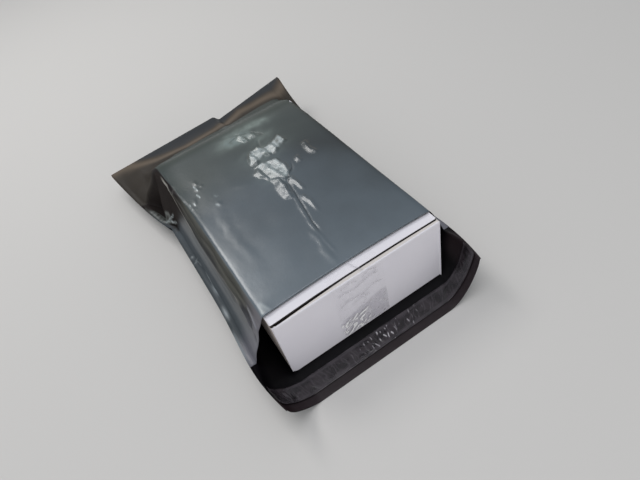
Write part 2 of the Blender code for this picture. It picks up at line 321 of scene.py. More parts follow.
@dataclass(frozen=True)
class Film:
    """Blown polythene film. Its skin is smooth but slightly wavy, so its gloss is broad with a core.

    Its colour comes with the piece: thin film looks lighter on white board than over a dark hollow, and the
    piece's tone also holds painted light and shade.
    """

    name: str
    roughness: float
    specular: float
    coat: float
    coat_roughness: float
    grain_mm: float = 2.2
    grain_depth: float = 0.05
    refraction: float = 1.51
    clouds: float = 60.0
    cloud_range: Pair = (0.88, 1.12)

    def build(self) -> bpy.types.Material:
        """The piece's own tone, clouded a little, under a gloss broken by a fine waviness.

        The tone's alpha is the share of the glossy shader over a matt one.

        Returns:
            The material.
        """
        material, tree, shader = new_material(self.name)
        # The tone holds the film's own colour together with painted light, painted shade and painted
        # highlights
        tone = add_node(tree, "ShaderNodeAttribute", attribute_name="tone")
        dim, bright = self.cloud_range
        cloud = {"Value": add_noise(tree, self.clouds, detail=4.0)}
        share = add_node(tree, "ShaderNodeMapRange", cloud, in_3=dim, in_4=bright)
        links = {0: tone.outputs["Color"], "Scale": share.outputs[0]}
        tint = add_node(tree, "ShaderNodeVectorMath", links, operation="SCALE").outputs[0]
        tree.links.new(tint, shader.inputs["Base Color"])
        set_inputs(shader, Roughness=self.roughness, Specular_IOR_Level=self.specular, IOR=self.refraction)
        set_inputs(shader, Coat_Weight=self.coat, Coat_Roughness=self.coat_roughness)
        normal = add_bump(tree, shader, self.grain_mm, self.grain_depth)
        matt = add_node(tree, "ShaderNodeBsdfDiffuse", {"Color": tint, "Normal": normal})
        links = {0: tone.outputs["Alpha"], 1: matt.outputs[0], 2: shader.outputs[0]}
        mix = add_node(tree, "ShaderNodeMixShader", links)
        result = next(node for node in tree.nodes if node.type == "OUTPUT_MATERIAL")
        tree.links.new(mix.outputs[0], result.inputs["Surface"])
        return material


@dataclass(frozen=True)
class Board:
    """Folding boxboard, clay coated. Matt and even, with faint fibre cloudiness."""

    name: str
    shade: str
    light_shade: str
    roughness: float
    specular: float = 0.35
    clouds: float = 30.0
    fibre_mm: float = 0.8
    fibre_depth: float = 0.02

    def build(self) -> bpy.types.Material:
        """Two close shades in a fine cloud, with a shallow bump of paper fibre.

        Returns:
            The material.
        """
        material, tree, shader = new_material(self.name)
        cloud = {0: add_noise(tree, self.clouds, detail=4.0)}
        shades = {"in_6": linear(self.shade), "in_7": linear(self.light_shade)}
        tint = add_node(tree, "ShaderNodeMix", cloud, data_type="RGBA", **shades)
        tree.links.new(tint.outputs[2], shader.inputs["Base Color"])
        set_inputs(shader, Roughness=self.roughness, Specular_IOR_Level=self.specular)
        add_bump(tree, shader, self.fibre_mm, self.fibre_depth)
        return material


@dataclass(frozen=True)
class ClearTape:
    """Clear polypropylene packing tape: hardly seen where it sticks, and milky where it has lifted, with
    painted glints in its tone.
    """

    name: str
    milk_roughness: float = 0.22
    refraction: float = 1.49

    def build(self) -> bpy.types.Material:
        """Colour and cover both come from the piece's tone, whose alpha is the cover.

        Returns:
            The material.
        """
        material, tree, shader = new_material(self.name)
        tone = add_node(tree, "ShaderNodeAttribute", attribute_name="tone")
        tree.links.new(tone.outputs["Color"], shader.inputs["Base Color"])
        tree.links.new(tone.outputs["Alpha"], shader.inputs["Alpha"])
        set_inputs(shader, Roughness=self.milk_roughness, IOR=self.refraction)
        return material


@dataclass(frozen=True)
class FloorPaint:
    """Matt pale studio board under the object."""

    name: str
    shade: str
    roughness: float = 0.9
    specular: float = 0.1

    def build(self) -> bpy.types.Material:
        """One flat colour, with next to no gloss."""
        material, _tree, shader = new_material(self.name)
        set_inputs(shader, Base_Color=linear(self.shade), Roughness=self.roughness)
        set_inputs(shader, Specular_IOR_Level=self.specular)
        return material


# The film's outer skin: pigmented grey, glossy
GREY_FILM = Film("grey_polythene_blown", 0.31, 0.7, 0.25, 0.16)
# The film's inner skin: carbon black, duller
BLACK_FILM = Film("black_polythene_inner", 0.45, 0.5, 0.0, 0.2)
# Siliconed release film over black: it picks up more light than the bare film
LINER_FILM = Film("siliconed_release_film", 0.20, 0.5, 0.0, 0.1, grain_mm=1.2)
# Hot melt glue: tacky, sinks to the film's own black
GLUE_FILM = Film("hot_melt_glue_coat", 0.4, 0.4, 0.0, 0.2)
WHITE_BOARD = Board("clay_coated_boxboard", "dcdae2", "e4e2e8", 0.62)
CUT_BOARD = Board("boxboard_cut_edge", "cdc7c4", "d6d1ce", 0.8)
# The unlit inside of the carton, seen through the gap behind its end wall
GAP_BOARD = Board("boxboard_inside_shaded", "221d1b", "2c2624", 0.9)
# Painted shade: the side walls stand between dark film, so their board is coloured warmer and darker for the
# shade there, and duller
SIDE_BOARD_PAINTED_SHADE = Board("boxboard_side_wall_painted_shade", "a49a95", "b0a6a0", 0.8)
TAPE_CLEAR = ClearTape("clear_packing_tape")
FLOOR_PAINT = FloorPaint("pale_studio_floor", "cccac8")


# Creases of thin film, in mm on the unrolled sheet


@dataclass(frozen=True)
class Crease:
    """A fold line: a smooth ridge along a path, or a groove where its height is below 0.

    left and right are its spreads to either side of the way along the path.
    """

    path: tuple[Point, ...]
    height: float
    left: float
    right: float
    fade: float = 8.0

    def rise(self, x: Array, y: Array) -> Array:
        """Height times a smooth step down from the nearest point of the path, run out at both ends.

        Args:
            x: first unrolled coordinate in mm.
            y: second unrolled coordinate in mm.

        Returns:
            The rise in mm.
        """
        nodes = np.array(self.path, float)
        best = np.full(x.shape, 1e9)
        side = np.zeros(x.shape)
        along = np.zeros(x.shape)
        done = 0.0
        for start, stop in zip(nodes[:-1], nodes[1:]):
            way = stop - start
            length = float(np.hypot(*way))
            way = way / length
            across = (x - start[0]) * way[0] + (y - start[1]) * way[1]
            place = np.clip(across, 0.0, length)
            off_x = x - start[0] - way[0] * place
            off_y = y - start[1] - way[1] * place
            distance = np.hypot(off_x, off_y)
            nearer = distance < best
            best = np.where(nearer, distance, best)
            side = np.where(nearer, way[0] * off_y - way[1] * off_x, side)
            along = np.where(nearer, done + place, along)
            done += length
        spread = np.where(side > 0, self.left, self.right)
        ends = smooth_step(along / self.fade) * smooth_step((done - along) / self.fade)
        return self.height * smooth_step(1 - best / spread) * ends


@dataclass(frozen=True)
class Facet:
    """A leaning patch of film. It rises across itself in one or more pleats and drops at each far side."""

    outline: tuple[Point, ...]
    lean: Point = (0.27, 0.02)
    pleats: int = 1
    soft: float = 1.6
    drop: float = 0.16

    def inside(self, x: Array, y: Array) -> Array:
        """Signed distance in mm from the outline, above 0 inside it, by the winding of its edges."""
        nodes = np.array(self.outline, float)
        distance = np.full(x.shape, 1e9)
        crossings = np.zeros(x.shape, bool)
        for start, stop in zip(nodes, np.roll(nodes, -1, axis=0)):
            way = stop - start
            share = ((x - start[0]) * way[0] + (y - start[1]) * way[1]) / float(way @ way)
            share = np.clip(share, 0.0, 1.0)
            gap = np.hypot(x - start[0] - way[0] * share, y - start[1] - way[1] * share)
            distance = np.minimum(distance, gap)
            spans = (start[1] > y) != (stop[1] > y)
            slope = way[0] / way[1] if abs(way[1]) > 1e-9 else 0.0
            crossings ^= spans & (x < start[0] + slope * (y - start[1]))
        return np.where(crossings, distance, -distance)

    def rise(self, x: Array, y: Array) -> Array:
        """A saw tooth of the distance up the lean, faded to nothing outside the outline.

        Args:
            x: first unrolled coordinate in mm.
            y: second unrolled coordinate in mm.

        Returns:
            The rise in mm.
        """
        lean = np.array(self.lean)
        nodes = np.array(self.outline, float) @ lean
        low, high = nodes.min(), nodes.max()
        period = (high - low) / self.pleats
        turn = (x * lean[0] + y * lean[1] - low) / period
        share = turn - np.floor(turn)
        up = np.clip(share / (1 - self.drop), 0.0, 1.0)
        down = smooth_step((1 - share) / self.drop)
        mask = smooth_step(0.5 + self.inside(x, y) / self.soft)
        return period * np.where(share < 1 - self.drop, up, down) * mask


@dataclass(frozen=True)
class Swell:
    """A soft rise of the film in an oval."""

    centre: Point
    radii: Point
    height: float
    turn: float = 0.0

    def rise(self, x: Array, y: Array) -> Array:
        """Height times a bell curve of the distance over the oval's radii."""
        c, s = math.cos(self.turn), math.sin(self.turn)
        u = ((x - self.centre[0]) * c + (y - self.centre[1]) * s) / self.radii[0]
        v = ((y - self.centre[1]) * c - (x - self.centre[0]) * s) / self.radii[1]
        return self.height * np.exp(-(u * u) - v * v)


@dataclass(frozen=True)
class PaintedFold:
    """A fold painted with a shade of its own: a painted highlight where it is light, painted shade where it
    is dark. The height of its crease is the share of the shade.
    """

    shade: str
    fold: Crease


@dataclass(frozen=True)
class PaintedLightPatch:
    """An area of painted light on the film, with its soft outline taken from a facet."""

    shade: str
    area: Facet


# The long fold down the middle of the top, without its start
LONG_FOLD = ((24, 22), (12.6, 10.5), (9, 2), (4.6, -28), (0, -55), (-1.5, -72))
# Where the slack film over the carton catches the light
TOP_FACETS = (
    Facet(
        ((-8, 52), (-3, 65), (1, 76), (14, 74), (20, 68), (38, 76), (39, 63), (22, 53), (12, 57), (0, 51)),
        (0.26, 0.05), 4, 1.6, 0.05,
    ),
    Facet(
        ((-7, 49), (9, 48), (19, 42), (20, 26), (17, 12), (10, 8), (6, 14), (1, 28)),
        (0.25, 0.05), 2, 2.6, 0.07,
    ),
    Facet(((-12, 38), (-5, 45), (1, 31), (7, 16), (5, 11), (-2, 21)), (0.25, 0.03), 2, 2.2, 0.12),
    Facet(((-2, 22), (6, 14), (6.5, 2), (5, -5), (2, -17), (-4, -11), (-5, 1)), (0.26, -0.01), 1, 2.2, 0.12),
    Facet(((-2, 101), (6, 109), (16, 105), (22, 93), (10, 92)), (0.24, 0.06), 2, 3.0, 0.14),
    Facet(((11, 9), (17, 9), (18, -2), (16, -14), (13, -14), (14, -4)), (0.27, 0.02), 1, 2.0, 0.14),
    Facet(((10, -20), (14, -22), (11.5, -46), (8.5, -44)), (0.22, 0.02), 1, 2.6, 0.25),
    Facet(((46.5, 24), (48, 47), (54, 48), (54, 24)), (0.27, 0.01), 1, 2.2, 0.16),
    Facet(((31, 21), (33, 33), (37, 33), (36, 21)), (0.25, 0.02), 1, 2.2, 0.2),
)
TOP_CREASES = (
    Crease(((7.3, -1), (3.2, -28), (-1.5, -55), (-2.8, -77), (-3.4, -99)), 0.62, 1.2, 2.8),
    Crease(((27, 33), *LONG_FOLD), -0.8, 1.8, 1.3, 10.0),
    Crease(((18, 88), (14, 74), (12, 60)), -1.0, 1.6, 2.2, 5.0),
    Crease(((-10, 116), (4, 113), (16, 106), (24, 96), (30, 88)), -0.7, 2.6, 2.6, 8.0),
    Crease(((-12, 27), (-26, 34), (-40, 38)), 0.25, 5.0, 6.0, 12.0),
    Crease(((-56, 30), (-60, 8), (-62, -28), (-58, -70)), 0.24, 9.0, 8.0, 24.0),
    Crease(((-6, -60), (-8, -86), (-9, -111)), 0.5, 3.5, 4.5, 9.0),
)
TOP_SWELLS = (
    Swell((-62, 72), (1.6, 3.4), 0.55),
    Swell((-64, 62), (1.5, 3.0), 0.5),
    Swell((-58, 64), (1.4, 2.4), 0.4),
    Swell((-72, 45), (1.6, 3.0), 0.5),
    Swell((-77, 38), (1.4, 2.4), 0.4),
    Swell((-54, 26), (1.8, 2.4), 0.45),
)
# Painted glow: a lighter tone laid round these creases, where crinkled film scatters the light
TOP_PAINTED_GLOWS = (
    Swell((10, 122), (22, 11), 0.85, 0.1),
    Swell((-12, 108), (12, 8), 0.25, 0.5),
    Swell((32, 118), (14, 9), 0.75, -0.3),
    Swell((0, 102), (18, 8), 0.6),
    Swell((24, 88), (14, 10), 0.35),
    Swell((14, 63), (22, 12), 0.4),
    Swell((4, 30), (14, 20), 0.3),
)
# The film beside the carton on its left; the carton's edge is at x = -80 and the weld near -131
LEFT_CREASES = (
    Crease(
        ((-92, 116), (-97, 78), (-99, 31), (-102, 5), (-102, -31), (-99, -67), (-101, -90), (-107, -109)),
        1.6, 3.0, 2.2, 10.0,
    ),
    Crease(((-97, 90), (-97.5, 40), (-98, 0), (-94, -50), (-92, -92)), -1.0, 3.0, 2.0, 24.0),
    Crease(((-130, 12), (-132, -29), (-135, -59), (-137, -96), (-140, -112)), 0.35, 1.6, 1.8, 10.0),
    Crease(((-108, 40), (-110, -30), (-110, -78)), -1.0, 6.0, 4.0, 30.0),
    Crease(((-94, -86), (-103, -100), (-113, -111)), -1.2, 1.8, 1.8, 5.0),
    Crease(((-90, -88), (-95, -101), (-100, -113)), 1.2, 1.6, 2.0, 4.0),
    Crease(((-122, 89), (-137, 106), (-126, 81)), 1.8, 1.8, 1.8, 4.0),
    Crease(((-137, 40), (-132, 26), (-129, 12)), 0.9, 1.6, 1.6, 3.0),
    Crease(((-138, 22), (-132, 27), (-127, 24)), 0.9, 1.4, 1.4, 3.0),
)
# Painted highlights and painted shade along folds: light strokes where folds and small bumps catch the
# light, dark ones in creases
PAINTED_FOLD_LIGHT_AND_SHADE = (
    PaintedFold(
        "34342f",
        Crease(
            ((-94, 108), (-97, 88), (-95, 58), (-97, 19), (-96, -10), (-92, -51), (-90, -84)),
            0.7, 2.2, 1.6, 20.0,
        ),
    ),
    PaintedFold(
        "a3a19a",
        Crease(
            ((-93, 112), (-98, 78), (-102, 45), (-104, 0), (-103, -35), (-99, -86)),
            0.75, 2.4, 2.2, 20.0,
        ),
    ),
    PaintedFold("c0c8ca", Crease(((-72, -113), (-77, -100), (-80, -112)), 0.38, 2.4, 2.4, 4.0)),
    PaintedFold(
        "aab3b8",
        Crease(((-129, 8), (-132, -19), (-135, -49), (-138.5, -78), (-140, -112)), 0.5, 1.2, 1.2, 14.0),
    ),
    PaintedFold("9c9ea4", Crease(((-90, -88), (-95, -101), (-100, -113)), 0.5, 1.6, 1.6, 6.0)),
    PaintedFold("2b2c30", Crease(((-94, -86), (-103, -100), (-113, -111)), 0.7, 1.6, 1.6, 6.0)),
    PaintedFold("bcc6c8", Crease(((-120, 86), (-137, 105)), 0.75, 0.8, 0.8, 3.0)),
    PaintedFold("bcc6c8", Crease(((-138, 106), (-131, 97), (-125, 80)), 0.75, 0.8, 0.8, 3.0)),
    PaintedFold("181a1c", Crease(((-136, 89), (-128, 79), (-136, 82)), 0.9, 2.2, 2.2, 2.0)),
    PaintedFold("a0a9ad", Crease(((-138, 41), (-132, 26), (-129, 12)), 0.35, 1.0, 1.0, 4.0)),
    PaintedFold("a0a9ad", Crease(((-139, 21), (-132, 27), (-127, 24)), 0.35, 0.9, 0.9, 3.0)),
    PaintedFold("181a1c", Crease(((26, 31), *LONG_FOLD), 0.55, 1.3, 1.1, 12.0)),
    PaintedFold("2c3432", Crease(((-4, 114), (8, 110), (20, 102), (28, 90)), 0.5, 2.0, 1.4, 8.0)),
    PaintedFold("2c3432", Crease(((-10, 104), (0, 108), (10, 107)), 0.45, 1.6, 1.2, 5.0)),
    PaintedFold("c8d2d4", Crease(((-65, 70), (-64.5, 64), (-64, 58)), 0.9, 0.9, 0.9, 2.0)),
    PaintedFold("d4dedf", Crease(((-67, 56), (-66.5, 52), (-66, 47)), 1.0, 0.9, 0.9, 2.0)),
    PaintedFold("c8d2d4", Crease(((-74, 46), (-74, 40)), 0.75, 0.8, 0.8, 1.5)),
    PaintedFold("b0babc", Crease(((-78.5, 48), (-77.5, 42)), 0.6, 0.8, 0.8, 1.5)),
    PaintedFold("b0babc", Crease(((-78, 40), (-79, 36)), 0.6, 0.8, 0.8, 1.5)),
    PaintedFold("a9b3b8", Crease(((-58, 30), (-55, 22)), 0.5, 1.8, 1.8, 3.0)),
    PaintedFold("a0aaae", Crease(((-54, 42), (-52, 36)), 0.35, 1.4, 1.4, 2.0)),
)
# Painted light: where the film beside the carton lies lit below the hollow, and painted highlights and glow
# between close pleats on the top
PAINTED_LIGHT_PATCHES = (
    PaintedLightPatch(
        "565a58",
        Facet(((-144, 141), (-139, 104), (-130, 92), (-123, 96), (-126, 104), (-134, 124)), soft=3.0),
    ),
    PaintedLightPatch(
        "969fa1",
        Facet(
            ((-6, 53), (-2, 64), (3, 73), (20, 67), (37, 74), (38, 63), (22, 55), (12, 59), (0, 53)),
            soft=3.0,
        ),
    ),
    PaintedLightPatch("969fa1", Facet(((-4, 46), (8, 46), (17, 41), (18, 26), (15, 14), (10, 12), (3, 28)), soft=3.0)),
    PaintedLightPatch("6f7b7a", Facet(((-16, 108), (-2, 114), (14, 112), (22, 96), (6, 92), (-10, 98)), soft=9.0)),
)
# Fine wrinkles of the tape, in mm across the carton and up along the tape
TAPE_CREASES = (
    Crease(((-28, 53), (-20, 57), (-8, 55), (8, 60), (16, 58)), 0.35, 0.9, 0.9, 3.0),
    Crease(((-27, 40), (-16, 45), (-2, 43), (10, 47), (21, 45)), 0.4, 0.9, 0.9, 3.0),
    Crease(((-14, 36), (-4, 40), (6, 37)), 0.3, 0.8, 0.8, 3.0),
    Crease(((0, 62), (8, 67), (15, 64), (11, 58)), 0.3, 0.8, 0.8, 3.0),
    Crease(((4, 69), (0, 78), (-3, 86)), 0.3, 0.9, 0.9, 3.0),
    Crease(((-22, 62), (-10, 65), (-2, 62)), 0.25, 0.8, 0.8, 3.0),
)


# Film shape


@dataclass(frozen=True)
class FilmSizes:
    """Sizes of the bag as its solid has them, in metres. A pair is left and right."""

    half_width: float = 0.080
    back_y: float = 0.126
    mouth_y: float = -0.1122
    ceiling: float = 0.0746
    wall: float = 0.00025
    weld_width: float = 0.006
    weld_outset: Pair = (0.0245, 0.0240)
    weld_height: Pair = (0.026, 0.028)
    mouth_setback: float = 0.0138
    mouth_outset: Pair = (0.0280, 0.0216)
    mouth_height: Pair = (0.026, 0.0395)
    mouth_spread: float = 0.045
    flap_length: float = 0.0475
    flap_hem: float = 0.001
    flap_ease: Pair = (0.007, 0.019)
    corner_outset: Pair = (0.0214, 0.0168)
    corner_height: Pair = (0.0384, 0.0400)
    corner_advance: Pair = (0.0086, -0.0035)
    curl_onset: float = 0.5
    curl_start: float = 1.7
    curl_end: float = 0.7
    end_reach: float = 0.106
    flare_length: Pair = (0.036, 0.006)
    flare_power: Pair = (0.68, 1.5)
    ear_outset: Pair = (0.053, 0.033)
    ear_height: Pair = (0.028, 0.044)
    ear_rise_power: float = 2.0
    corner_spread: float = 0.010
    end_sag: float = 1.35
    seal_sag: Pair = (0.003, 0.0105)
    buckle_x: float = 0.016
    buckle_width: float = 0.009
    fold_height: Pair = (0.0030, 0.0015)
    fold_places: Pair = (0.34, 0.80)
    fold_spread: float = 0.11
    dent_depth: float = 0.011
    dent_length: float = 0.020
    edge_round: float = 0.0009
    edge_start: float = 0.0012
    edge_round_end: float = 2.5
    edge_round_mouth: float = -0.2
    edge_bulge: float = 0.0006
    mouth_edge_reach: float = 0.008
    mouth_bow: float = 0.0022
    mouth_bow_reach: float = 0.015
    mouth_bow_half: float = 0.079
    mouth_curl: float = 0.0005
    mouth_curl_place: float = -0.0755
    mouth_curl_spread: Pair = (0.004, 0.009)
    film_gap: float = 0.0002
    tent_reach: float = 0.0065
    tent_start: float = 0.020
    tent_length: float = 0.100
    back_delay: Pair = (0.0060, 0.0090)
    back_delay_from: float = -0.020
    back_delay_over: float = 0.060
    hollow_apex: Point = (-0.0875, 0.124)
    hollow_foot: Point = (-0.1245, 0.150)
    hollow_front: Point = (-0.0880, 0.056)
    hollow_bow: float = 0.009
    hollow_depth: float = 0.030
    hollow_drop: float = 0.006
    hollow_rise: float = 0.060
    hollow_onset: float = 0.012
    hollow_margin: float = 0.004
    hollow_border: float = 0.006
    hollow_shade_onset: float = 0.0015
    hollow_shade_reach: float = 0.040

    @property
    def pocket_length(self) -> float:
        """From the mouth to the carton's back."""
        return self.back_y - self.mouth_y

    @property
    def front_share(self) -> float:
        """Share of the flap that lies over the carton's front stretch."""
        return self.mouth_setback / self.flap_length


class Sheet:
    """One sheet of the film as a grid: rows from the flap or mouth to the bottom weld, columns across.

    flap is 1 at the flap's end and 0 from the mouth on; end is 0 up to the carton's back and 1 at the
    bottom weld; cut is 1 at the weld's edge. lean is 0 over the carton and 1 at the side weld, and
    edge is 1 at the side's cut. side is -1 left of the carton, 1 right of it, and between over it.
    """

    def __init__(self, sizes: FilmSizes, rows: dict[str, Array], columns: dict[str, Array]) -> None:
        """Keep the stations and work out where they lie.

        Args:
            sizes: sizes of the bag.
            rows: flap, pocket, end and cut of each row.
            columns: lean, side and edge of each column.
        """
        self.sizes = sizes
        self.flap, self.pocket, self.end, self.cut = (
            rows[key][:, None] for key in ("flap", "pocket", "end", "cut")
        )
        self.lean, self.side, self.edge = (columns[key][None, :] for key in ("lean", "side", "edge"))
        self.place()

    @staticmethod
    def rows_between(flap: Array, pocket: Array, end: Array, cut: Array) -> dict[str, Array]:
        """Join the stretches of rows: flap falls to 0, then pocket, end and cut rise to 1 in turn."""
        return {
            "flap": np.concatenate([flap, 0 * pocket, 0 * end, 0 * cut]),
            "pocket": np.concatenate([0 * flap, pocket, 0 * end + 1, 0 * cut + 1]),
            "end": np.concatenate([0 * flap, 0 * pocket, end, 0 * cut + 1]),
            "cut": np.concatenate([0 * flap, 0 * pocket, 0 * end, cut]),
        }

    @staticmethod
    def columns_between(left: Array, over: Array, right: Array, band: Array) -> dict[str, Array]:
        """Join the columns: left slope from the weld up, over the carton, and right slope down.

        Args:
            left: lean of the left slope's columns, from 1 down to 0.
            over: side of the columns over the carton, between -1 and 1.
            right: lean of the right slope's columns, from 0 up to 1.
            band: edge of a weld band's columns, from 1 down to, but without, 0.

        Returns:
            lean, side and edge of all columns.
        """
        return {
            "lean": np.concatenate([0 * band + 1, left, 0 * over, right, 0 * band + 1]),
            "side": np.concatenate([0 * band - 1, 0 * left - 1, over, 0 * right + 1, 0 * band + 1]),
            "edge": np.concatenate([band, 0 * left, 0 * over, 0 * right, band[::-1]]),
        }

    def choose(self, pair: Pair) -> Array:
        """The left value for columns on the left and the right one for the others."""
        return np.where(self.side < 0, pair[0], pair[1])

    def by_side(self, pair: Pair) -> Array:
        """The left value left of the carton, the right one right of it, and an even change between."""
        share = np.clip(0.5 + self.x / (2 * self.sizes.half_width), 0.0, 1.0)
        return pair[0] + (pair[1] - pair[0]) * share

    def flare(self) -> Array:
        """From 0 along the carton to 1 at the closed end's corners, as a power of the way there."""
        s = self.sizes
        length = self.choose(s.flare_length)
        past = self.end * s.end_reach - (1 - self.pocket) * s.pocket_length
        return np.clip((past + length) / (s.end_reach + length), 0.0, 1.0) ** self.choose(s.flare_power)

    def near_mouth(self) -> Array:
        """1 at the mouth and on the flap, falling away along the pocket as a bell curve."""
        s = self.sizes
        return hump(self.pocket * s.pocket_length, 0.0, s.mouth_spread) * (1 - self.end)

    def place(self) -> None:
        """Work out x and y of every station, and how far it lies beside the carton's edge."""
        s = self.sizes
        weld, mouth = self.choose(s.weld_outset), self.choose(s.mouth_outset)
        corner, ear = self.choose(s.corner_outset), self.choose(s.ear_outset)
        outset = weld + (mouth - weld) * self.near_mouth()
        outset = outset + (ear - weld) * self.flare() + (corner - mouth) * self.flap**2
        ease = self.choose(s.flap_ease) * smooth_step((self.flap - s.front_share) / (1 - s.front_share))
        start = s.half_width + self.end * s.corner_spread - ease
        band = s.weld_width + (s.flap_hem - s.weld_width) * smooth_step(self.flap / s.curl_onset)
        self.run = s.half_width + outset - band - start
        beside = start + self.lean * self.run + self.edge * band
        self.x = np.where(self.lean > 0, np.sign(self.side) * beside, self.side * start)
        self.past_edge = np.where(self.lean > 0, self.lean * self.run, (np.abs(self.side) - 1) * start)
        self.y = (
            s.mouth_y
            - self.flap * s.flap_length
            - self.flap * self.lean**2 * self.choose(s.corner_advance)
            + self.pocket * s.pocket_length
            + self.end * (s.end_reach - s.weld_width)
            + self.cut * s.weld_width
        )

    def seal_height(self) -> Array:
        """Height of the bottom weld: a line between the ears, less two sags that meet at its buckle."""
        s = self.sizes
        left, right = s.half_width + s.ear_outset[0], s.half_width + s.ear_outset[1]
        straight = s.ear_height[0] + (s.ear_height[1] - s.ear_height[0]) * (self.x + left) / (left + right)
        past = smooth_step((self.x - s.buckle_x) / s.buckle_width + 0.5)
        left_sag = s.seal_sag[0] * (self.x + left) / (s.buckle_x + left)
        right_sag = s.seal_sag[1] * (right - self.x) / (right - s.buckle_x)
        return straight - left_sag * (1 - past) - right_sag * past

    def weld_height(self) -> Array:
        """Height that each station leans or closes towards."""
        s = self.sizes
        weld, mouth, corner = (self.by_side(p) for p in (s.weld_height, s.mouth_height, s.corner_height))
        along = weld + (mouth - weld) * self.near_mouth() + (corner - mouth) * self.flap
        return along + (self.seal_height() - along) * self.end**s.ear_rise_power

    def open_share(self) -> Array:
        """1 over the carton's length and falling to 0 at the bottom weld."""
        return (1 - self.end) ** self.sizes.end_sag

    def lower(self) -> Array:
        """Points of the lower sheet's upper face.

        The film lies flat under the carton and rises to the weld, evenly along the pocket and in a
        late curl on the flap: 1 - (1 - lean^a)^b.

        Returns:
            Points as rows by columns by 3, in metres.
        """
        s = self.sizes
        weld = self.weld_height()
        curl = 1 - (1 - self.lean**s.curl_start) ** s.curl_end
        lean = self.lean + (curl - self.lean) * smooth_step(self.flap / s.curl_onset)
        height = weld + (s.wall - weld) * (1 - lean) * self.open_share()
        height = np.where((self.lean >= 1) | (self.end >= 1), weld, height)
        return np.stack([self.x, self.y, height], axis=2)

    def hollow(self) -> tuple[Array, Array]:
        """How far the film is drawn in between the carton's back left corner and the side weld.

        It drops steeply before a ridge that runs from the corner to the weld, and rises again evenly
        towards the mouth. A second line, from the ridge's foot forwards, parts it from the weld.

        Returns:
            The drop in metres, and 1 wherever the hollow's painted shade lies on the film.
        """
        s = self.sizes
        apex, foot, front = (np.array(place) for place in (s.hollow_apex, s.hollow_foot, s.hollow_front))
        way = (foot - apex) / np.linalg.norm(foot - apex)
        off_x, off_y = self.x - apex[0], self.y - apex[1]
        along = off_x * way[0] + off_y * way[1]
        share = np.clip(along / np.linalg.norm(foot - apex), 0.0, 1.0)
        before = off_y * way[0] - off_x * way[1] + s.hollow_bow * np.sin(math.pi * share)
        edge = (front - foot) / np.linalg.norm(front - foot)
        within = (self.y - foot[1]) * edge[0] - (self.x - foot[0]) * edge[1]
        inside = smooth_step((within + s.hollow_margin) / s.hollow_border) * (self.side < 0)
        rest = inside * (1 - smooth_step((before - s.hollow_drop) / s.hollow_rise))
        drop = s.hollow_depth * smooth_step(along / s.hollow_onset)
        drop = drop * smooth_step(before / s.hollow_drop) * rest
        fading = smooth_step((before - s.hollow_shade_reach) / s.hollow_shade_reach)
        return drop, smooth_step(before / s.hollow_shade_onset) * inside * (1 - fading)

    def tent(self) -> Array:
        """How far past the carton's left edge the film stays level, growing towards the closed end."""
        s = self.sizes
        return s.tent_reach * smooth_step((self.y - s.tent_start) / s.tent_length) * (self.side < 0)

    def upper(self) -> Array:
        """Points of the upper sheet's inner face, without its creases.

        The film falls from the carton's top edge to the weld in a straight slope, with the edge
        rounded: the way down is w log(1 + exp(distance / w)) for a rounding w. It leaves the
        carton's back in the same way, rounder and a little late. At the mouth its edge bows back
        and curls at its left corner.

        Returns:
            Points as rows by columns by 3, in metres.
        """
        s = self.sizes
        weld = self.weld_height()
        past_mouth = self.pocket * s.pocket_length
        near = hump(past_mouth, 0.0, s.mouth_edge_reach)
        tent = self.tent() + s.edge_start
        run = np.maximum(self.run - tent, 1e-6)
        rounder = 1 + s.edge_round_end * smooth_step(self.end * 3) + s.edge_round_mouth * near
        w = s.edge_round * rounder
        down = w * np.logaddexp(0.0, (self.past_edge - tent) / w) / run
        later = smooth_step((self.x - s.back_delay_from) / s.back_delay_over)
        delay = s.back_delay[0] + (s.back_delay[1] - s.back_delay[0]) * later
        reach = s.end_reach - s.weld_width
        behind = np.logaddexp(0.0, (self.y - s.back_y - delay) / delay)
        behind = behind / np.logaddexp(0.0, (reach - delay) / delay)
        open_share = (1 - np.clip(behind, 0.0, 1.0)) ** s.end_sag
        bulge = s.edge_bulge * (1 - near)
        height = weld + (s.ceiling + bulge - weld) * (1 - np.minimum(down, 1)) * open_share
        ridge = sum(hump(self.lean, place, s.fold_spread) for place in s.fold_places)
        folds = self.choose(s.fold_height) * ridge * np.sin(math.pi * self.lean) * (1 - self.end)
        dent = s.dent_depth * hump(self.y, s.back_y, s.dent_length) * np.sin(math.pi * np.sqrt(self.lean))
        dent = np.where(self.side < 0, self.hollow()[0], dent)
        across, back = s.mouth_curl_spread
        curl = s.mouth_curl * hump(past_mouth, 0.0, back) * hump(self.x, s.mouth_curl_place, across)
        height = height + folds - dent + curl
        lowest = self.lower()[..., 2] + s.film_gap
        height = np.where((self.lean >= 1) | (self.end >= 1), weld, np.maximum(height, lowest))
        middle = 1 - np.clip(np.abs(self.x) / s.mouth_bow_half, 0, 1) ** 2
        bow = s.mouth_bow * hump(past_mouth, 0.0, s.mouth_bow_reach) * middle
        return np.stack([self.x, self.y + bow, height], axis=2)

    def unrolled(self) -> tuple[Array, Array]:
        """Coordinates of the unrolled film in mm: x over the carton, and on past its edges by the way down.

        Returns:
            Distance across and y of every station.
        """
        s = self.sizes
        arc = self.lean * np.hypot(self.run, s.ceiling - self.weld_height())
        beside = s.half_width + arc + self.edge * s.weld_width
        across = np.where(self.lean > 0, np.sign(self.side) * beside, self.side * s.half_width)
        return across / MM, self.y / MM + 0 * across


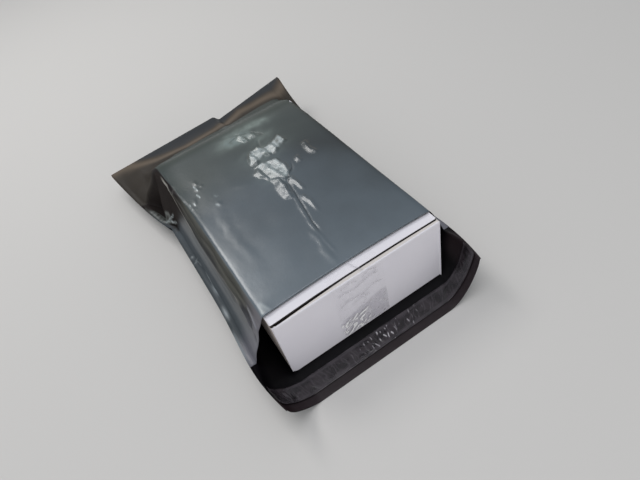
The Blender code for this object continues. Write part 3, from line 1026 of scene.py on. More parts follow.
def shell(
    name: str, face: Array, wall: float, finishes: Finishes, up: Side, tones: tuple[Array, Array]
) -> bpy.types.Object:
    """Close a grid of points into a thin wall with its rim.

    Args:
        name: name of the piece.
        face: points of the wall's upper face.
        wall: thickness of the wall.
        finishes: the outer and the inner finish.
        up: which finish the upper face has.
        tones: colour and gloss of the upper and of the lower face's points.

    Returns:
        The piece.
    """
    rows, columns = face.shape[:2]
    count = rows * columns
    under = face - normals_of(face) * wall
    top = np.arange(count).reshape(rows, columns)
    bottom = top + count
    upper_quads = grid_quads(top)
    lower_quads = grid_quads(bottom, flip=True)
    rim = rim_quads(top, bottom)
    other = Side.INNER if up is Side.OUTER else Side.OUTER
    counted = ((upper_quads, up), (lower_quads, other), (rim, Side.INNER))
    which = np.concatenate([np.full(len(quads), side.value) for quads, side in counted])
    points = np.concatenate([face.reshape(-1, 3), under.reshape(-1, 3)])
    which = np.minimum(which, len(finishes) - 1)
    obj = make_piece(name, points, np.concatenate([upper_quads, lower_quads, rim]), finishes, which)
    add_tone(obj, np.concatenate([tone.reshape(-1, 4) for tone in tones]))
    return obj


def plain_tone(shape: tuple[int, int], shade: str, gloss: float = 1.0) -> Array:
    """One colour and gloss at every point of a grid."""
    return np.broadcast_to(np.array((*linear(shade)[:3], gloss)), (*shape, 4)).copy()


@dataclass(frozen=True)
class FilmShades:
    """Colours of the film, as it looks on the white carton and where it hangs free, with the painted light
    and shade laid over it.
    """

    on_board: str = "465058"
    on_board_front_painted_light: str = "58636c"
    on_board_back_painted_shade: str = "343c3a"
    on_board_right_painted_shade: str = "20272b"
    painted_glow: str = "84918c"
    mouth_painted_light: str = "77757f"
    shaded_side: str = "252223"
    closed_end_painted_shading: str = "3a3632"
    closed_end_painted_highlight: str = "62584e"
    bottom_seal: str = "35373a"
    # Painted shade of the hollow at the back left corner
    hollow: str = "2a2625"
    matt_back: str = "434a48"
    underside: str = "50575c"
    inner: str = "0b0a0d"
    flap_painted_light: str = "251d20"


# Where the closed end's painted shade starts, and where its painted highlight along a fold runs: places
# across and along, in mm
CREST_LINE = ((-84, -75, -58, -23, 2, 44, 63, 95), (136, 152, 172, 180, 178, 188, 186, 184))
PAINTED_HIGHLIGHT_LINE = (
    (-133, -107, -76, -59, -39, 2, 44, 63, 95, 112),
    (232, 226, 205, 197, 189, 196, 216, 208, 203, 216),
)
# Painted light and shade of the folds beside the carton, from its edge down to the weld: place in mm and
# shade
SIDE_PAINTED_SHADING = (
    (-136, "474c50"),
    (-127, "50565b"),
    (-116, "4b5156"),
    (-107, "43484b"),
    (-100, "26282a"),
    (-95, "51514c"),
    (-91, "2e2e2a"),
    (-82, "50514c"),
)


@dataclass
class Mailer:
    """The bag's two sheets of film."""

    sizes: FilmSizes = field(default_factory=FilmSizes)
    shades: FilmShades = field(default_factory=FilmShades)
    top_facets: tuple[Facet, ...] = TOP_FACETS
    top_creases: tuple[Crease, ...] = TOP_CREASES
    top_swells: tuple[Swell, ...] = TOP_SWELLS
    left_creases: tuple[Crease, ...] = LEFT_CREASES
    patches: tuple[PaintedLightPatch, ...] = PAINTED_LIGHT_PATCHES
    painted_folds: tuple[PaintedFold, ...] = PAINTED_FOLD_LIGHT_AND_SHADE
    painted_glows: tuple[Swell, ...] = TOP_PAINTED_GLOWS
    wander_mm: float = 1.5
    fine_mm: float = 0.09
    crinkle_mm: float = 0.10
    wave_mm: float = 0.12
    lowest_mm: float = -0.5

    def upper_sheet(self) -> Sheet:
        """Stations of the upper sheet, close together where its creases are."""
        s = self.sizes
        y = graded((-112.2, -25, 2.0), (-25, 115, 1.0), (115, 126, 1.1)) * MM
        pocket = (y - s.mouth_y) / s.pocket_length
        end = graded((0, 0.38, 0.0125), (0.38, 1, 0.03))[1:]
        rows = Sheet.rows_between(np.zeros(0), pocket, end, np.array([0.5, 1.0]))
        left = graded((1, 0.9, 0.02), (0.9, 0.46, 0.025), (0.46, 0.16, 0.0125), (0.16, 0.0, 0.016))
        spans = (-EDGE_MM, -52, 1.0), (-52, -14, 2.4), (-14, 44, 0.95), (44, 56, 1.4), (56, EDGE_MM, 4.0)
        over = graded(*spans)[1:-1] / EDGE_MM
        right = graded((0.0, 0.2, 0.04), (0.2, 1.0, 0.1))
        return Sheet(s, rows, Sheet.columns_between(left, over, right, np.array([1.0, 0.5])))

    def lower_sheet(self) -> Sheet:
        """Stations of the lower sheet, close together on the flap."""
        flap = graded((1.0, 0.0, 0.022))
        pocket = graded((0, 1, 0.06))[1:]
        end = graded((0, 1, 0.05))[1:]
        rows = Sheet.rows_between(flap, pocket, end, np.array([0.5, 1.0]))
        left = graded((1.0, 0.0, 0.03))
        over = graded((-1, 1, 0.016))[1:-1]
        return Sheet(self.sizes, rows, Sheet.columns_between(left, over, left[::-1], np.array([1.0, 0.5])))

    def relief(self, sheet: Sheet, x: Array, y: Array) -> Array:
        """How far the creases lift the upper sheet, in metres along its normal.

        Args:
            sheet: the upper sheet.
            x: unrolled distance across in mm.
            y: distance along in mm.

        Returns:
            The lift at every station.
        """
        wander_x = x + self.wander_mm * ripples(x, y, (9, 26), 12, 31)
        wander_y = y + self.wander_mm * ripples(x, y, (9, 26), 12, 32)
        facets = np.max([facet.rise(wander_x, wander_y) for facet in self.top_facets], axis=0)
        tense = smooth_step(facets / 0.8)
        ridges = sum(item.rise(wander_x, wander_y) for item in (*self.top_creases, *self.top_swells))
        fine = self.fine_mm * ripples(x * 1.6, y, (3.5, 9), 26, 41) * (0.12 + tense)
        over = smooth_step((EDGE_MM - np.abs(x)) / 6) * smooth_step((1 - sheet.end) * 10 - 6.5)
        lift = soften(facets + ridges + fine, 1) * over
        beside = smooth_step((-EDGE_MM - x) / 4) * (1 - smooth_step(sheet.end * 5))
        crinkle = self.crinkle_mm * ripples(x, y * 0.45, (4, 12), 24, 43)
        lift = lift + (sum(item.rise(x, y + 0 * x) for item in self.left_creases) + crinkle) * beside
        calm = (1 - sheet.edge) * (1 - sheet.cut) * smooth_step((1 - sheet.end) * 6)
        lift = lift + self.wave_mm * ripples(x, y, (14, 46), 26, 5) * calm
        return np.maximum(lift, self.lowest_mm) * MM

    def board_tone(self, x: Array, y: Array, drift: Array) -> Array:
        """Tone of the film on the carton's top, with painted light and shade: paler in front, darker behind
        and on the right.

        Args:
            x: unrolled distance across in mm.
            y: distance along in mm.
            drift: wander of the borders between shades, in mm.

        Returns:
            Red, green, blue and gloss of every station.
        """
        shade = self.shades
        tone = plain_tone(x.shape, shade.on_board)
        # Painted light towards the front left, painted shade towards the right and the back
        tone = blend_tone(tone, shade.on_board_front_painted_light, smooth_step((-10 - y - 0.5 * x + drift) / 130))
        right = smooth_step((0.7 * x + 0.5 * y + drift) / 85)
        tone = blend_tone(tone, shade.on_board_right_painted_shade, 1.15 * right)
        back = smooth_step((y - 15 - 0.2 * x + drift) / 80)
        tone = blend_tone(tone, shade.on_board_back_painted_shade, 0.9 * back)
        # Painted glow of light over the crinkled places
        painted_glow = sum(item.rise(x, y) for item in self.painted_glows)
        tone = blend_tone(tone, shade.painted_glow, painted_glow * (0.85 + 0.3 * ripples(x, y, (4, 14), 20, 53)))
        tone = blend_tone(tone, shade.matt_back, 0.8 * smooth_step((y - 112) / 14), 0.25)
        left = smooth_step((-66 - x) / 16) * smooth_step((y + 30) / 50)
        tone[..., 3] *= 1 - 0.5 * np.maximum(smooth_step((x - 75) / 4), left)
        return tone

    def side_tone(self, sheet: Sheet, x: Array, y: Array, drift: Array) -> Array:
        """Tone of the film beside the carton: painted light and shade in bands from its edge down to the
        weld, and painted shade behind a fold.

        Args:
            sheet: the upper sheet.
            x: unrolled distance across in mm.
            y: distance along in mm.
            drift: wander of the borders between shades, in mm.

        Returns:
            Red, green, blue and gloss of every station.
        """
        # Bands of painted light and painted shade across the slope
        places = [place for place, _ in SIDE_PAINTED_SHADING]
        colours = np.array([linear(name) for _, name in SIDE_PAINTED_SHADING])
        down = np.where(x < 0, x, -x) + 0.25 * drift + sheet.tent() / MM
        side = np.stack([np.interp(down, places, channel) for channel in colours.T], axis=2)
        dull = np.maximum(smooth_step((x + 105) / 6), 1.3 * smooth_step((-114 - x) / 8)) * (x < 0)
        side[..., 3] = (0.62 - 0.35 * smooth_step((sheet.lean - 0.88) / 0.1)) * (1 - 0.6 * dull)
        # Painted light: a lighter lilac grey on the left slope near the open mouth
        side = blend_tone(side, self.shades.mouth_painted_light, 0.6 * smooth_step((-72 - y + drift) / 36), 0.6)
        # Painted shade behind the fold at the back of the left slope
        behind_fold = smooth_step((y - 44) / 34) * smooth_step((x + 109) / 7) * (x < 0)
        return blend_tone(side, self.shades.shaded_side, behind_fold, 0.1)

    def end_tone(self, past: Array) -> Array:
        """Tone of the closed end, as painted warm reflection and shade: dark, with one painted highlight
        along a fold, and greyer past it at the bottom weld.

        Args:
            past: how far past the painted highlight fold each station lies, in mm.

        Returns:
            Red, green, blue and gloss of every station.
        """
        shade = self.shades
        closed = plain_tone(past.shape, shade.closed_end_painted_shading, 0.15)
        closed = blend_tone(closed, shade.bottom_seal, smooth_step((past - 6) / 12), 0.25)
        return blend_tone(closed, shade.closed_end_painted_highlight, hump(past / 10, 0, 1), 0.2)

    def add_painted_light(self, tone: Array, x: Array, y: Array) -> Array:
        """Lay the painted light patches, clouded, and the painted highlights and shade of the folds over the
        film's tone.
        """
        cloud = 0.7 + 0.5 * ripples(x, y, (3, 9), 16, 57)
        for painted_patch in self.patches:
            share = smooth_step(0.5 + painted_patch.area.inside(x, y) / painted_patch.area.soft)
            tone = blend_tone(tone, painted_patch.shade, share * cloud, 0.6)
        for painted_fold in self.painted_folds:
            tone = blend_tone(tone, painted_fold.shade, painted_fold.fold.rise(x, y), 0.4)
        return tone

    def outer_tone(self, sheet: Sheet, x: Array, y: Array) -> Array:
        """Colour and gloss of the upper sheet's outer skin, with its painted light and shade.

        Args:
            sheet: the upper sheet.
            x: unrolled distance across in mm.
            y: distance along in mm.

        Returns:
            Red, green, blue and gloss of every station.
        """
        drift = 10 * ripples(x, y, (30, 90), 12, 51)
        tone = self.board_tone(x, y, drift)
        free = smooth_step((np.abs(x) - EDGE_MM - sheet.tent() / MM - 0.8) / 3.5)
        tone = tone + (self.side_tone(sheet, x, y, drift) - tone) * free[..., None]
        # Painted reflection and shade over the closed end, behind the crest line
        far_y = sheet.y / MM + 0.25 * drift
        crest, light = (np.interp(sheet.x / MM, *line) for line in (CREST_LINE, PAINTED_HIGHLIGHT_LINE))
        behind = np.maximum(smooth_step((far_y - crest + 4) / 8), free * smooth_step(sheet.end * 6))
        tone = tone + (self.end_tone(far_y - light) - tone) * behind[..., None]
        # Painted shade: the hollow at the back left corner in a near-black brown, with almost no gloss
        fold = -89 - 6 * smooth_step((118 - y) / 40)
        hollow = sheet.hollow()[1] * smooth_step((fold - x) / 2.5)
        return self.add_painted_light(blend_tone(tone, self.shades.hollow, hollow, 0.05), x, y)

    def build(self, grey: bpy.types.Material, black: bpy.types.Material) -> list[bpy.types.Object]:
        """Make both sheets.

        Args:
            grey: finish of the outer skin.
            black: finish of the inner skin.

        Returns:
            The upper and the lower sheet.
        """
        wall, shade = self.sizes.wall, self.shades
        upper = self.upper_sheet()
        face = upper.upper()
        x, y = upper.unrolled()
        face = face + normals_of(face) * (self.relief(upper, x, y) + wall)[..., None]
        inner = plain_tone(x.shape, shade.inner, 0.3)
        tones = (self.outer_tone(upper, x, y), inner)
        top = shell("film_upper", face, wall, [grey, black], Side.OUTER, tones)
        lower = self.lower_sheet()
        face = lower.lower()
        inner = plain_tone(face.shape[:2], shade.inner, 0.3)
        # Painted light: the flap lighter and browner towards its end and on its right, darker next to the
        # carton where shade falls
        rim = smooth_step((lower.flap - 0.62) / 0.2) + 0.8 * smooth_step((lower.side * lower.lean - 0.5) * 3)
        inner = blend_tone(inner, shade.flap_painted_light, rim * smooth_step(lower.flap * 4), 0.5)
        inner[..., 3] *= 1 - 0.9 * smooth_step((lower.lean - 0.7) * 4) * (lower.side < 0)
        outer = plain_tone(face.shape[:2], shade.underside)
        bottom = shell("film_lower", face, wall, [grey, black], Side.INNER, (inner, outer))
        return [top, bottom]


@dataclass
class FlapStrip:
    """A strip across the flap that follows it from corner to corner: the glue, or the liner over it."""

    name: str
    width: float
    margin: float
    lift: float
    wall: float
    wrinkle: float
    shade: str
    light_shade: str
    dark_shade: str
    painted_glint_shade: str
    sizes: FilmSizes = field(default_factory=FilmSizes)

    def ribs(self, along: Array, share: Array) -> Array:
        """Short raised wrinkles across the strip at uneven steps, each a narrow bell curve.

        Args:
            along: distance along the strip in mm.
            share: 0 at its outer border to 1 at its inner one.

        Returns:
            1 on a wrinkle, 0 between them.
        """
        draw = np.random.default_rng(17)
        total = np.zeros(np.broadcast(along, share).shape)
        place = along.min()
        while place < along.max():
            place += draw.uniform(2.0, 6.5)
            bend = draw.uniform(-2.5, 2.5) * (share - 0.5) + 0.6 * np.sin(share * 9 + place)
            reach = smooth_step((share - draw.uniform(-0.2, 0.5)) * 5)
            reach = reach * smooth_step((draw.uniform(0.6, 1.2) - share) * 5)
            total = np.maximum(total, draw.uniform(0.3, 1.0) * hump(along, place + bend, 0.55) * reach)
        return total

    def grid(self) -> tuple[Array, Array, Array]:
        """Points of the flap under the strip, with the way along it in mm and the share across it."""
        insets = graded((self.margin, self.margin + self.width, 0.0006))
        none = np.zeros(0)
        rows = Sheet.rows_between(1 - insets / self.sizes.flap_length, none, none, none)
        left = graded((1.0, 0.0, 0.02))
        over = graded((-1, 1, 0.0068))[1:-1]
        face = Sheet(self.sizes, rows, Sheet.columns_between(left, over, left[::-1], none)).lower()
        steps = np.linalg.norm(np.diff(face[len(insets) // 2], axis=0), axis=1)
        along = np.concatenate([[0.0], np.cumsum(steps)])[None, :] / MM
        return face, along, np.linspace(0, 1, len(insets))[:, None]

    @staticmethod
    def border(along: Array, across: Array, share: Array) -> Array:
        """How bright the lifted borders are: a scalloped one at the inner edge, a faint one outside.

        Args:
            along: distance along the strip in mm.
            across: distance across it in mm.
            share: 0 at its outer border to 1 at its inner one.

        Returns:
            From 0 to 1 at every station.
        """
        scallop = 0.90 + 0.05 * np.abs(np.sin(along / 5.2)) + 0.03 * ripples(along, share, (9, 30), 8, 15)
        border = np.maximum(0.6 * hump(share, scallop, 0.06), 0.3 * hump(share, 0.04, 0.05))
        return np.clip(border * (0.75 + 0.6 * ripples(along, across, (5, 24), 12, 14)), 0, 1)

    def build(self, finish: bpy.types.Material) -> bpy.types.Object:
        """Make the strip.

        Args:
            finish: its film.

        Returns:
            The piece.
        """
        face, along, share = self.grid()
        across = share * (self.width / MM)
        ribs = self.ribs(along, share)
        border = self.border(along, across, share)
        cloud = ripples(along, across, (5, 14), 16, 12)
        patches = smooth_step(0.5 + 1.4 * ripples(along, across, (6, 20), 14, 16))
        lines = crinkles(along * 1.3, across * 0.5, (6, 18), 18, 0.07) * patches
        lively = 1 + 1.6 * hump(face[..., 0], 0.0, 0.020)
        height = self.lift + self.wrinkle * (0.5 * cloud + 0.5 + ribs) * lively
        height = height + 0.6 * self.wrinkle * lines
        face = face + normals_of(face) * (height + 0.5 * self.wrinkle * border)[..., None]
        tone = blend_tone(plain_tone(face.shape[:2], self.shade), self.dark_shade, 0.9 * (1 - patches))
        step = np.abs(np.mod((along + 1.5 * cloud) / 10.5, 1.0) - 0.5) * 2
        cells = np.maximum(hump(step, 1.0, 0.12), hump(np.abs(share - 0.5), 0.38, 0.07))
        # The light shade on the raised wrinkles is a painted highlight; it also lies along the borders,
        # crinkle lines and cells
        light = np.maximum.reduce([0.35 * ribs, 0.6 * border, 0.25 * lines, 0.30 * cells])
        tone = blend_tone(tone, self.light_shade, light)
        # Painted glints: near-white spots on the wrinkles in the middle of the flap
        clouded = smooth_step(0.3 + 1.6 * ripples(along, across, (3, 9), 16, 19))
        painted_glints = smooth_step((ribs - 0.25) / 0.3) * clouded
        tone = blend_tone(tone, self.painted_glint_shade, 0.9 * painted_glints * hump(face[..., 0], 0.006, 0.024))
        under = plain_tone(face.shape[:2], self.shade)
        return shell(self.name, face, self.wall, [finish], Side.OUTER, (tone, under))


GLUE_STRIP = FlapStrip(
    name="glue_coat",
    width=0.012,
    margin=0.0105,
    lift=0.0003,
    wall=0.0003,
    wrinkle=0.00002,
    shade="141215",
    light_shade="1a171b",
    dark_shade="100e11",
    painted_glint_shade="1a171b",
)
LINER_STRIP = FlapStrip(
    name="liner",
    width=0.017,
    margin=0.008,
    lift=0.0008,
    wall=0.00012,
    wrinkle=0.00020,
    shade="2e292d",
    light_shade="575258",
    dark_shade="191619",
    painted_glint_shade="d0ccd2",
)


@dataclass
class Carton:
    """A folded carton: a bowed lid panel behind a dark gap, and the top edge of its end wall."""

    half_width: float = 0.080
    front: float = -0.126
    back: float = 0.126
    base: float = 0.0005
    top: float = 0.0738
    fold: float = 0.0010
    foot_fold: float = 0.0005
    wall_step: float = 0.0007
    gap_depth: float = 0.007
    gap_start: float = 0.0775
    gap_ramp: float = 0.0015
    bite: float = 0.0003
    gap_places: tuple[float, ...] = (-0.080, -0.072, -0.040, -0.010, 0.040, 0.080)
    gap_insets: tuple[float, ...] = (0.0020, 0.0024, 0.0040, 0.0052, 0.0050, 0.0042)
    gap_widths: tuple[float, ...] = (0.0020, 0.0019, 0.0016, 0.0008, 0.0008, 0.0007)
    corner_cut: float = 0.0060
    hold: float = 0.0004

    def profile(self, x: Array, inset: Array) -> tuple[Array, Array, Array]:
        """The carton's outline in y and z at every x, as a loop that starts at the front's foot.

        The front face ends in a rounded fold, then come the wall's top edge, the gap, the lid's
        edge and the lid. All outer sides lie inset metres in, which rounds the carton's ends, and
        the foot rises in a quarter circle at the left end.

        Args:
            x: stations across the carton.
            inset: how far its outline is drawn in at each station.

        Returns:
            y and z as stations by loop points, and the finish of the side after each point.
        """
        wall = self.front + np.interp(x, self.gap_places, self.gap_insets)
        lid = wall + np.interp(x, self.gap_places, self.gap_widths)
        cut = smooth_step((x + self.gap_start) / self.gap_ramp)
        short = np.clip(self.corner_cut - (x + self.half_width), 0.0, self.corner_cut)
        foot = self.base + inset + self.corner_cut - np.sqrt(self.corner_cut**2 - short**2)
        high = self.top - inset
        shelf = high - self.wall_step * cut
        near, far = self.front + inset, self.back - inset
        bite = self.bite
        ys, zs, finishes = [], [], []

        def point(y: Array, z: Array, finish: int = 0) -> None:
            """Add one point and the finish of the side that follows it."""
            ys.append(y + 0 * x)
            zs.append(z + 0 * x)
            finishes.append(finish)

        def corner(y: Array, z: Array, r: float, begin: float) -> None:
            """Add a clockwise quarter circle inside a corner, held by a point before and after it."""
            stop = begin - math.pi / 2
            y = y - r * math.sqrt(2) * math.cos(begin - math.pi / 4)
            z = z - r * math.sqrt(2) * math.sin(begin - math.pi / 4)
            first = (y + r * math.cos(begin), z + r * math.sin(begin))
            last = (y + r * math.cos(stop), z + r * math.sin(stop))
            point(first[0] - self.hold * math.sin(begin), first[1] + self.hold * math.cos(begin))
            for angle in np.linspace(begin, stop, 5):
                point(y + r * math.cos(angle), z + r * math.sin(angle))
            point(last[0] + self.hold * math.sin(stop), last[1] - self.hold * math.cos(stop))

        corner(near, foot, self.foot_fold, 1.5 * math.pi)
        corner(near, shelf, self.fold, math.pi)
        finishes[-2:] = [1, 1]
        point(wall - bite, shelf, 1)
        point(wall, shelf - bite * cut, 2)
        point(wall, shelf - self.gap_depth * cut, 2)
        point(lid, shelf - self.gap_depth * cut, 2)
        point(lid, high - bite * cut, 2)
        point(lid + bite, high)
        point(lid + bite + self.hold, high)
        corner(far, high, self.fold, 0.5 * math.pi)
        corner(far, foot, self.fold, 0.0)
        return np.stack(ys, axis=1), np.stack(zs, axis=1), np.array(finishes)

    def build(self, finishes: Finishes) -> bpy.types.Object:
        """Carry the outline across the carton and close its ends.

        Args:
            finishes: its faces, cut board, the inside of the gap and the side walls.

        Returns:
            The piece.
        """
        turn = np.linspace(0, math.pi / 2, 5)
        ends = self.half_width - self.fold * (1 - np.sin(turn))
        drawn = self.fold * (1 - np.cos(turn))[::-1]
        middle = graded((-78.5, -72, 0.5), (-72, 78.5, 4.0)) * MM
        x = np.unique(np.concatenate([-ends, middle, ends]))
        inset = np.interp(self.half_width - np.abs(x), self.half_width - ends[::-1], drawn[::-1])
        y, z, sides = self.profile(x, inset)
        rows, columns = y.shape
        points = np.stack([np.repeat(x[:, None], columns, axis=1), y, z], axis=2).reshape(-1, 3)
        index = np.arange(rows * columns).reshape(rows, columns)
        loop = np.concatenate([index, index[:, :1]], axis=1)
        which = np.tile(sides, (rows - 1, 1)).ravel()
        obj = make_piece("carton_board", points, grid_quads(loop, flip=True), finishes, which)
        self.close_ends(obj, index)
        return obj

    @staticmethod
    def close_ends(obj: bpy.types.Object, index: Array) -> None:
        """Close the first and last outline with one flat face each, in the side walls' finish."""
        shape = bmesh.new()
        shape.from_mesh(obj.data)
        shape.verts.ensure_lookup_table()
        for ring in (index[0], index[-1][::-1]):
            shape.faces.new([shape.verts[int(number)] for number in ring]).material_index = 3
        bmesh.ops.recalc_face_normals(shape, faces=shape.faces)
        shape.to_mesh(obj.data)
        shape.free()
        obj.data.shade_smooth()
        obj.data.set_sharp_from_angle(angle=math.radians(50))


@dataclass
class Tape:
    """Clear tape down the carton's end and back over its lid, wrinkled, and milky with painted glints near
    its foot.
    """

    left: float = -0.027
    right: float = 0.021
    face: float = -0.1263
    foot: float = 0.0048
    ceiling: float = 0.0743
    reach: float = -0.088
    bend: float = 0.0010
    wall: float = 0.0001
    step: float = 0.0006
    fine_mm: float = 0.05
    crinkle_mm: float = 0.08
    clear: str = "c9c6cc"
    lilac: str = "9c99a5"
    milky_painted_glint: str = "ffffff"
    # Painted shade in the tape's wrinkles
    fold: str = "86838c"
    creases: tuple[Crease, ...] = TAPE_CREASES

    def tone(self, x: Array, v: Array, slope: Array, wrinkle: Array) -> Array:
        """Colour and cover: clear above, lilac below, white streaks at the foot as milky lifted tape and
        painted glints, painted shade as grey on wrinkles.

        Args:
            x: distance across in mm.
            v: distance up along the tape in mm.
            slope: how steep the wrinkles are.
            wrinkle: 1 on the named wrinkles.

        Returns:
            Red, green, blue and cover of every station.
        """
        drift = 2.5 * ripples(x, v, (6, 22), 12, 23)
        low = smooth_step((31 + 0.22 * x - v + 0.6 * drift) / 2.5) * smooth_step((x + 28 + drift) / 8)
        tone = blend_tone(plain_tone(x.shape, self.clear, 0.02), self.lilac, low, 0.18)
        # Milky lifted tape and painted glints: white clouds and streaks near the foot
        tone = blend_tone(tone, self.milky_painted_glint, 0.4 * smooth_step(ripples(x, v, (5, 16), 14, 26)) * low, 0.4)
        long, short = 0.78 * x + 0.63 * v, 0.78 * v - 0.63 * x
        waves = np.sin(2 * math.pi * (short / 4.6 + 0.5 * ripples(long * 0.5, short, (5, 14), 12, 24)))
        streaks = waves + 1.6 * ripples(long, short * 1.4, (4, 9), 14, 25)
        zone = smooth_step((26 + 0.15 * x - v + drift) / 6) * smooth_step((6 - x + drift) / 9)
        tone = blend_tone(tone, self.milky_painted_glint, smooth_step((streaks + 0.1) / 0.6) * zone, 0.97)
        tone = blend_tone(tone, self.milky_painted_glint, 0.5 * smooth_step((streaks - 0.9) / 0.6) * low, 0.6)
        # Painted shade: grey lines on the wrinkles, laid by how steep they are
        lines = crinkles(x, v, (7, 22), 27, 0.06) * smooth_step(0.5 + ripples(x, v, (8, 24), 12, 28))
        lines = np.maximum(lines * smooth_step((66 - v) / 8), wrinkle)
        lines = lines * smooth_step((x + 26) / 5) * smooth_step((20 - x) / 4) * (1 - 0.7 * zone)
        return blend_tone(tone, self.fold, 0.7 * lines * smooth_step((slope - 0.01) / 0.05), 0.55)

    def build(self, finish: bpy.types.Material) -> bpy.types.Object:
        """Carry the tape along its path up the end, round the edge and over the lid.

        Args:
            finish: its film.

        Returns:
            The piece.
        """
        rise = graded((self.foot, self.ceiling - self.bend, self.step))
        turn = np.linspace(0, math.pi / 2, 6)[1:-1]
        back = graded((self.face + self.bend, self.reach, 0.0008))
        y = np.concatenate([0 * rise + self.face, self.face + self.bend * (1 - np.cos(turn)), back])
        z = np.concatenate([rise, self.ceiling - self.bend * (1 - np.sin(turn)), 0 * back + self.ceiling])
        x = graded((self.left, self.right, self.step))
        along = np.concatenate([[0.0], np.cumsum(np.hypot(np.diff(y), np.diff(z)))])
        points = np.zeros((len(y), len(x), 3))
        points[..., 0] = x[None, :]
        points[..., 1] = y[:, None]
        points[..., 2] = z[:, None]
        u, v = points[..., 0] / MM, np.repeat(along[:, None] / MM, len(x), axis=1)
        fine = ripples(u * 0.7, v, (2.5, 7), 18, 21) + 0.6 * ripples(u, v * 1.4, (2.5, 6), 14, 22)
        lines = sum(item.rise(u, v) for item in self.creases)
        net = crinkles(u, v, (7, 22), 27, 0.10)
        height = self.fine_mm * (fine + 1.2) + 0.5 * lines + self.crinkle_mm * net
        slope = np.hypot(*np.gradient(height, self.step / MM))
        points = points + normals_of(points) * (height * MM)[..., None]
        tone = self.tone(u, v, slope, smooth_step(lines / 0.2))
        return shell("tape_film", points, self.wall, [finish], Side.OUTER, (tone, tone * (1, 1, 1, 0.1)))


@dataclass(frozen=True)
class Lamp:
    """A square softbox that looks at the object from a direction.

    Its radiance is what a mirror would show of it, so its power is radiance times pi times its area.
    """

    name: str
    azimuth: float
    elevation: float
    distance: float
    width: float
    height: float
    radiance: float
    shade: str
    aim: Point3 = (0.0, 0.0, 0.05)

    def build(self) -> bpy.types.Object:
        """Make the lamp, facing the middle of the object. Azimuth 0 is +Y and goes towards +X."""
        a, e = math.radians(self.azimuth), math.radians(self.elevation)
        way = Vector((math.sin(a) * math.cos(e), math.cos(a) * math.cos(e), math.sin(e)))
        lamp = bpy.data.lights.new(self.name, "AREA")
        lamp.shape = "RECTANGLE"
        lamp.size = self.width
        lamp.size_y = self.height
        lamp.energy = self.radiance * math.pi * self.width * self.height
        lamp.color = linear(self.shade)[:3]
        obj = bpy.data.objects.new(self.name, lamp)
        bpy.context.scene.collection.objects.link(obj)
        obj.location = way * self.distance + Vector(self.aim)
        obj.rotation_euler = way.to_track_quat("Z", "Y").to_euler()
        obj.visible_camera = False
        return obj


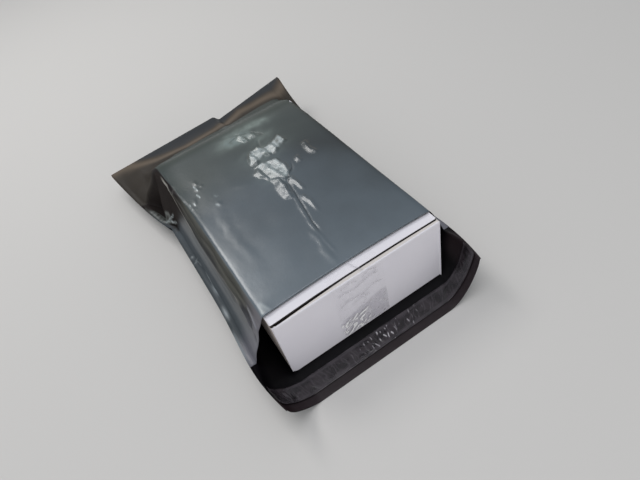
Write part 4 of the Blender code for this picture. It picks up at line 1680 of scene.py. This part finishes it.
@dataclass
class Studio:
    """Pale floor, softboxes behind, overhead and in front, a soft sky and the camera."""

    floor_size: float = 3.6
    camera_place: Point3 = (-0.10058, -0.34164, 0.38150)
    camera_right: Point3 = (0.82951, -0.52319, -0.19540)
    camera_down: Point3 = (-0.50994, -0.56684, -0.64704)
    camera_forward: Point3 = (0.22776, 0.63637, -0.73700)
    lens: float = 28.142
    sensor_width: float = 36.0
    nearest: float = 0.01
    key: Lamp = Lamp("key_softbox", -20.0, 48.0, 1.5, 0.60, 0.50, 7.2, "fffdfa")
    fill: Lamp = Lamp("front_fill", 190.0, 14.0, 1.5, 1.0, 0.5, 3.0, "fdfcff")
    top: Lamp = Lamp("overhead_softbox", -100.0, 84.0, 2.0, 1.2, 1.2, 2.1, "fdfdff")
    sky_strength: float = 1.3
    sky: tuple[tuple[float, str], ...] = (
        (0.0, "8a857f"),
        (0.50, "9a958f"),
        (0.60, "9c9995"),
        (0.75, "959a9d"),
        (0.88, "989c9f"),
        (1.0, "bfc1c3"),
    )

    def build_floor(self, finish: bpy.types.Material) -> bpy.types.Object:
        """One large square on the ground."""
        half = self.floor_size / 2
        points = np.array([(-half, -half, 0), (half, -half, 0), (half, half, 0), (-half, half, 0)])
        return make_piece("floor", points, np.array([[0, 1, 2, 3]]), [finish])

    def build_sky(self) -> None:
        """Light from all round: a ramp of colours by the height of the direction, from nadir to zenith."""
        world = bpy.data.worlds.new("studio_sky")
        bpy.context.scene.world = world
        world.use_nodes = True
        tree = world.node_tree
        place = add_node(tree, "ShaderNodeTexCoord")
        parts = add_node(tree, "ShaderNodeSeparateXYZ", {0: place.outputs["Generated"]})
        share = add_node(tree, "ShaderNodeMapRange", {"Value": parts.outputs["Z"]}, in_1=-1.0, in_2=1.0)
        ramp = add_node(tree, "ShaderNodeValToRGB", {"Fac": share.outputs[0]})
        while len(ramp.color_ramp.elements) < len(self.sky):
            ramp.color_ramp.elements.new(0.5)
        for element, (place_at, shade) in zip(ramp.color_ramp.elements, self.sky):
            element.position = place_at
            element.color = linear(shade)
        background = next(node for node in tree.nodes if node.type == "BACKGROUND")
        tree.links.new(ramp.outputs["Color"], background.inputs["Color"])
        background.inputs["Strength"].default_value = self.sky_strength

    def build_camera(self) -> bpy.types.Object:
        """The camera at the photo's place and angle, from its three axes."""
        data = bpy.data.cameras.new("camera")
        data.lens = self.lens
        data.sensor_width = self.sensor_width
        data.clip_start = self.nearest
        camera = bpy.data.objects.new("camera", data)
        bpy.context.scene.collection.objects.link(camera)
        axes = zip(self.camera_right, self.camera_down, self.camera_forward, self.camera_place)
        camera.matrix_world = Matrix([(r, -d, -f, p) for r, d, f, p in axes] + [(0, 0, 0, 1)])
        bpy.context.scene.camera = camera
        return camera


def hand_over(obj: bpy.types.Object, slot: str, *nodes: str) -> None:
    """Let a piece ride on the body and stand for its solids.

    Args:
        obj: the piece.
        slot: the record's material slot; not used.
        nodes: solids that it stands for.
    """
    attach(obj, BODY)
    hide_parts(*nodes)
    obj.data.update()
    LOG.info("%s: %d faces, stands for %s", obj.name, len(obj.data.polygons), ", ".join(nodes))


def main() -> None:
    """Build the pieces in order around the frame and set up the studio."""
    logging.basicConfig(level=logging.INFO, format="%(name)s: %(message)s")
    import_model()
    grey, black = GREY_FILM.build(), BLACK_FILM.build()

    upper, lower = Mailer().build(grey, black)
    hand_over(upper, "grey_polythene", "mailer_bag")
    hand_over(lower, "grey_polythene", "mailer_bag")
    hand_over(GLUE_STRIP.build(GLUE_FILM.build()), "hot_melt_glue", "glue_strip")
    hand_over(LINER_STRIP.build(LINER_FILM.build()), "release_liner", "release_liner")
    boards = [finish.build() for finish in (WHITE_BOARD, CUT_BOARD, GAP_BOARD, SIDE_BOARD_PAINTED_SHADE)]
    hand_over(Carton().build(boards), "white_board", "carton")
    hand_over(Tape().build(TAPE_CLEAR.build()), "clear_tape", "carton_tape")

    studio = Studio()
    studio.build_floor(FLOOR_PAINT.build())
    studio.key.build()
    studio.top.build()
    studio.fill.build()
    studio.build_sky()
    studio.build_camera()
    bpy.context.scene.view_settings.view_transform = "Standard"


if __name__ == "__main__":
    main()
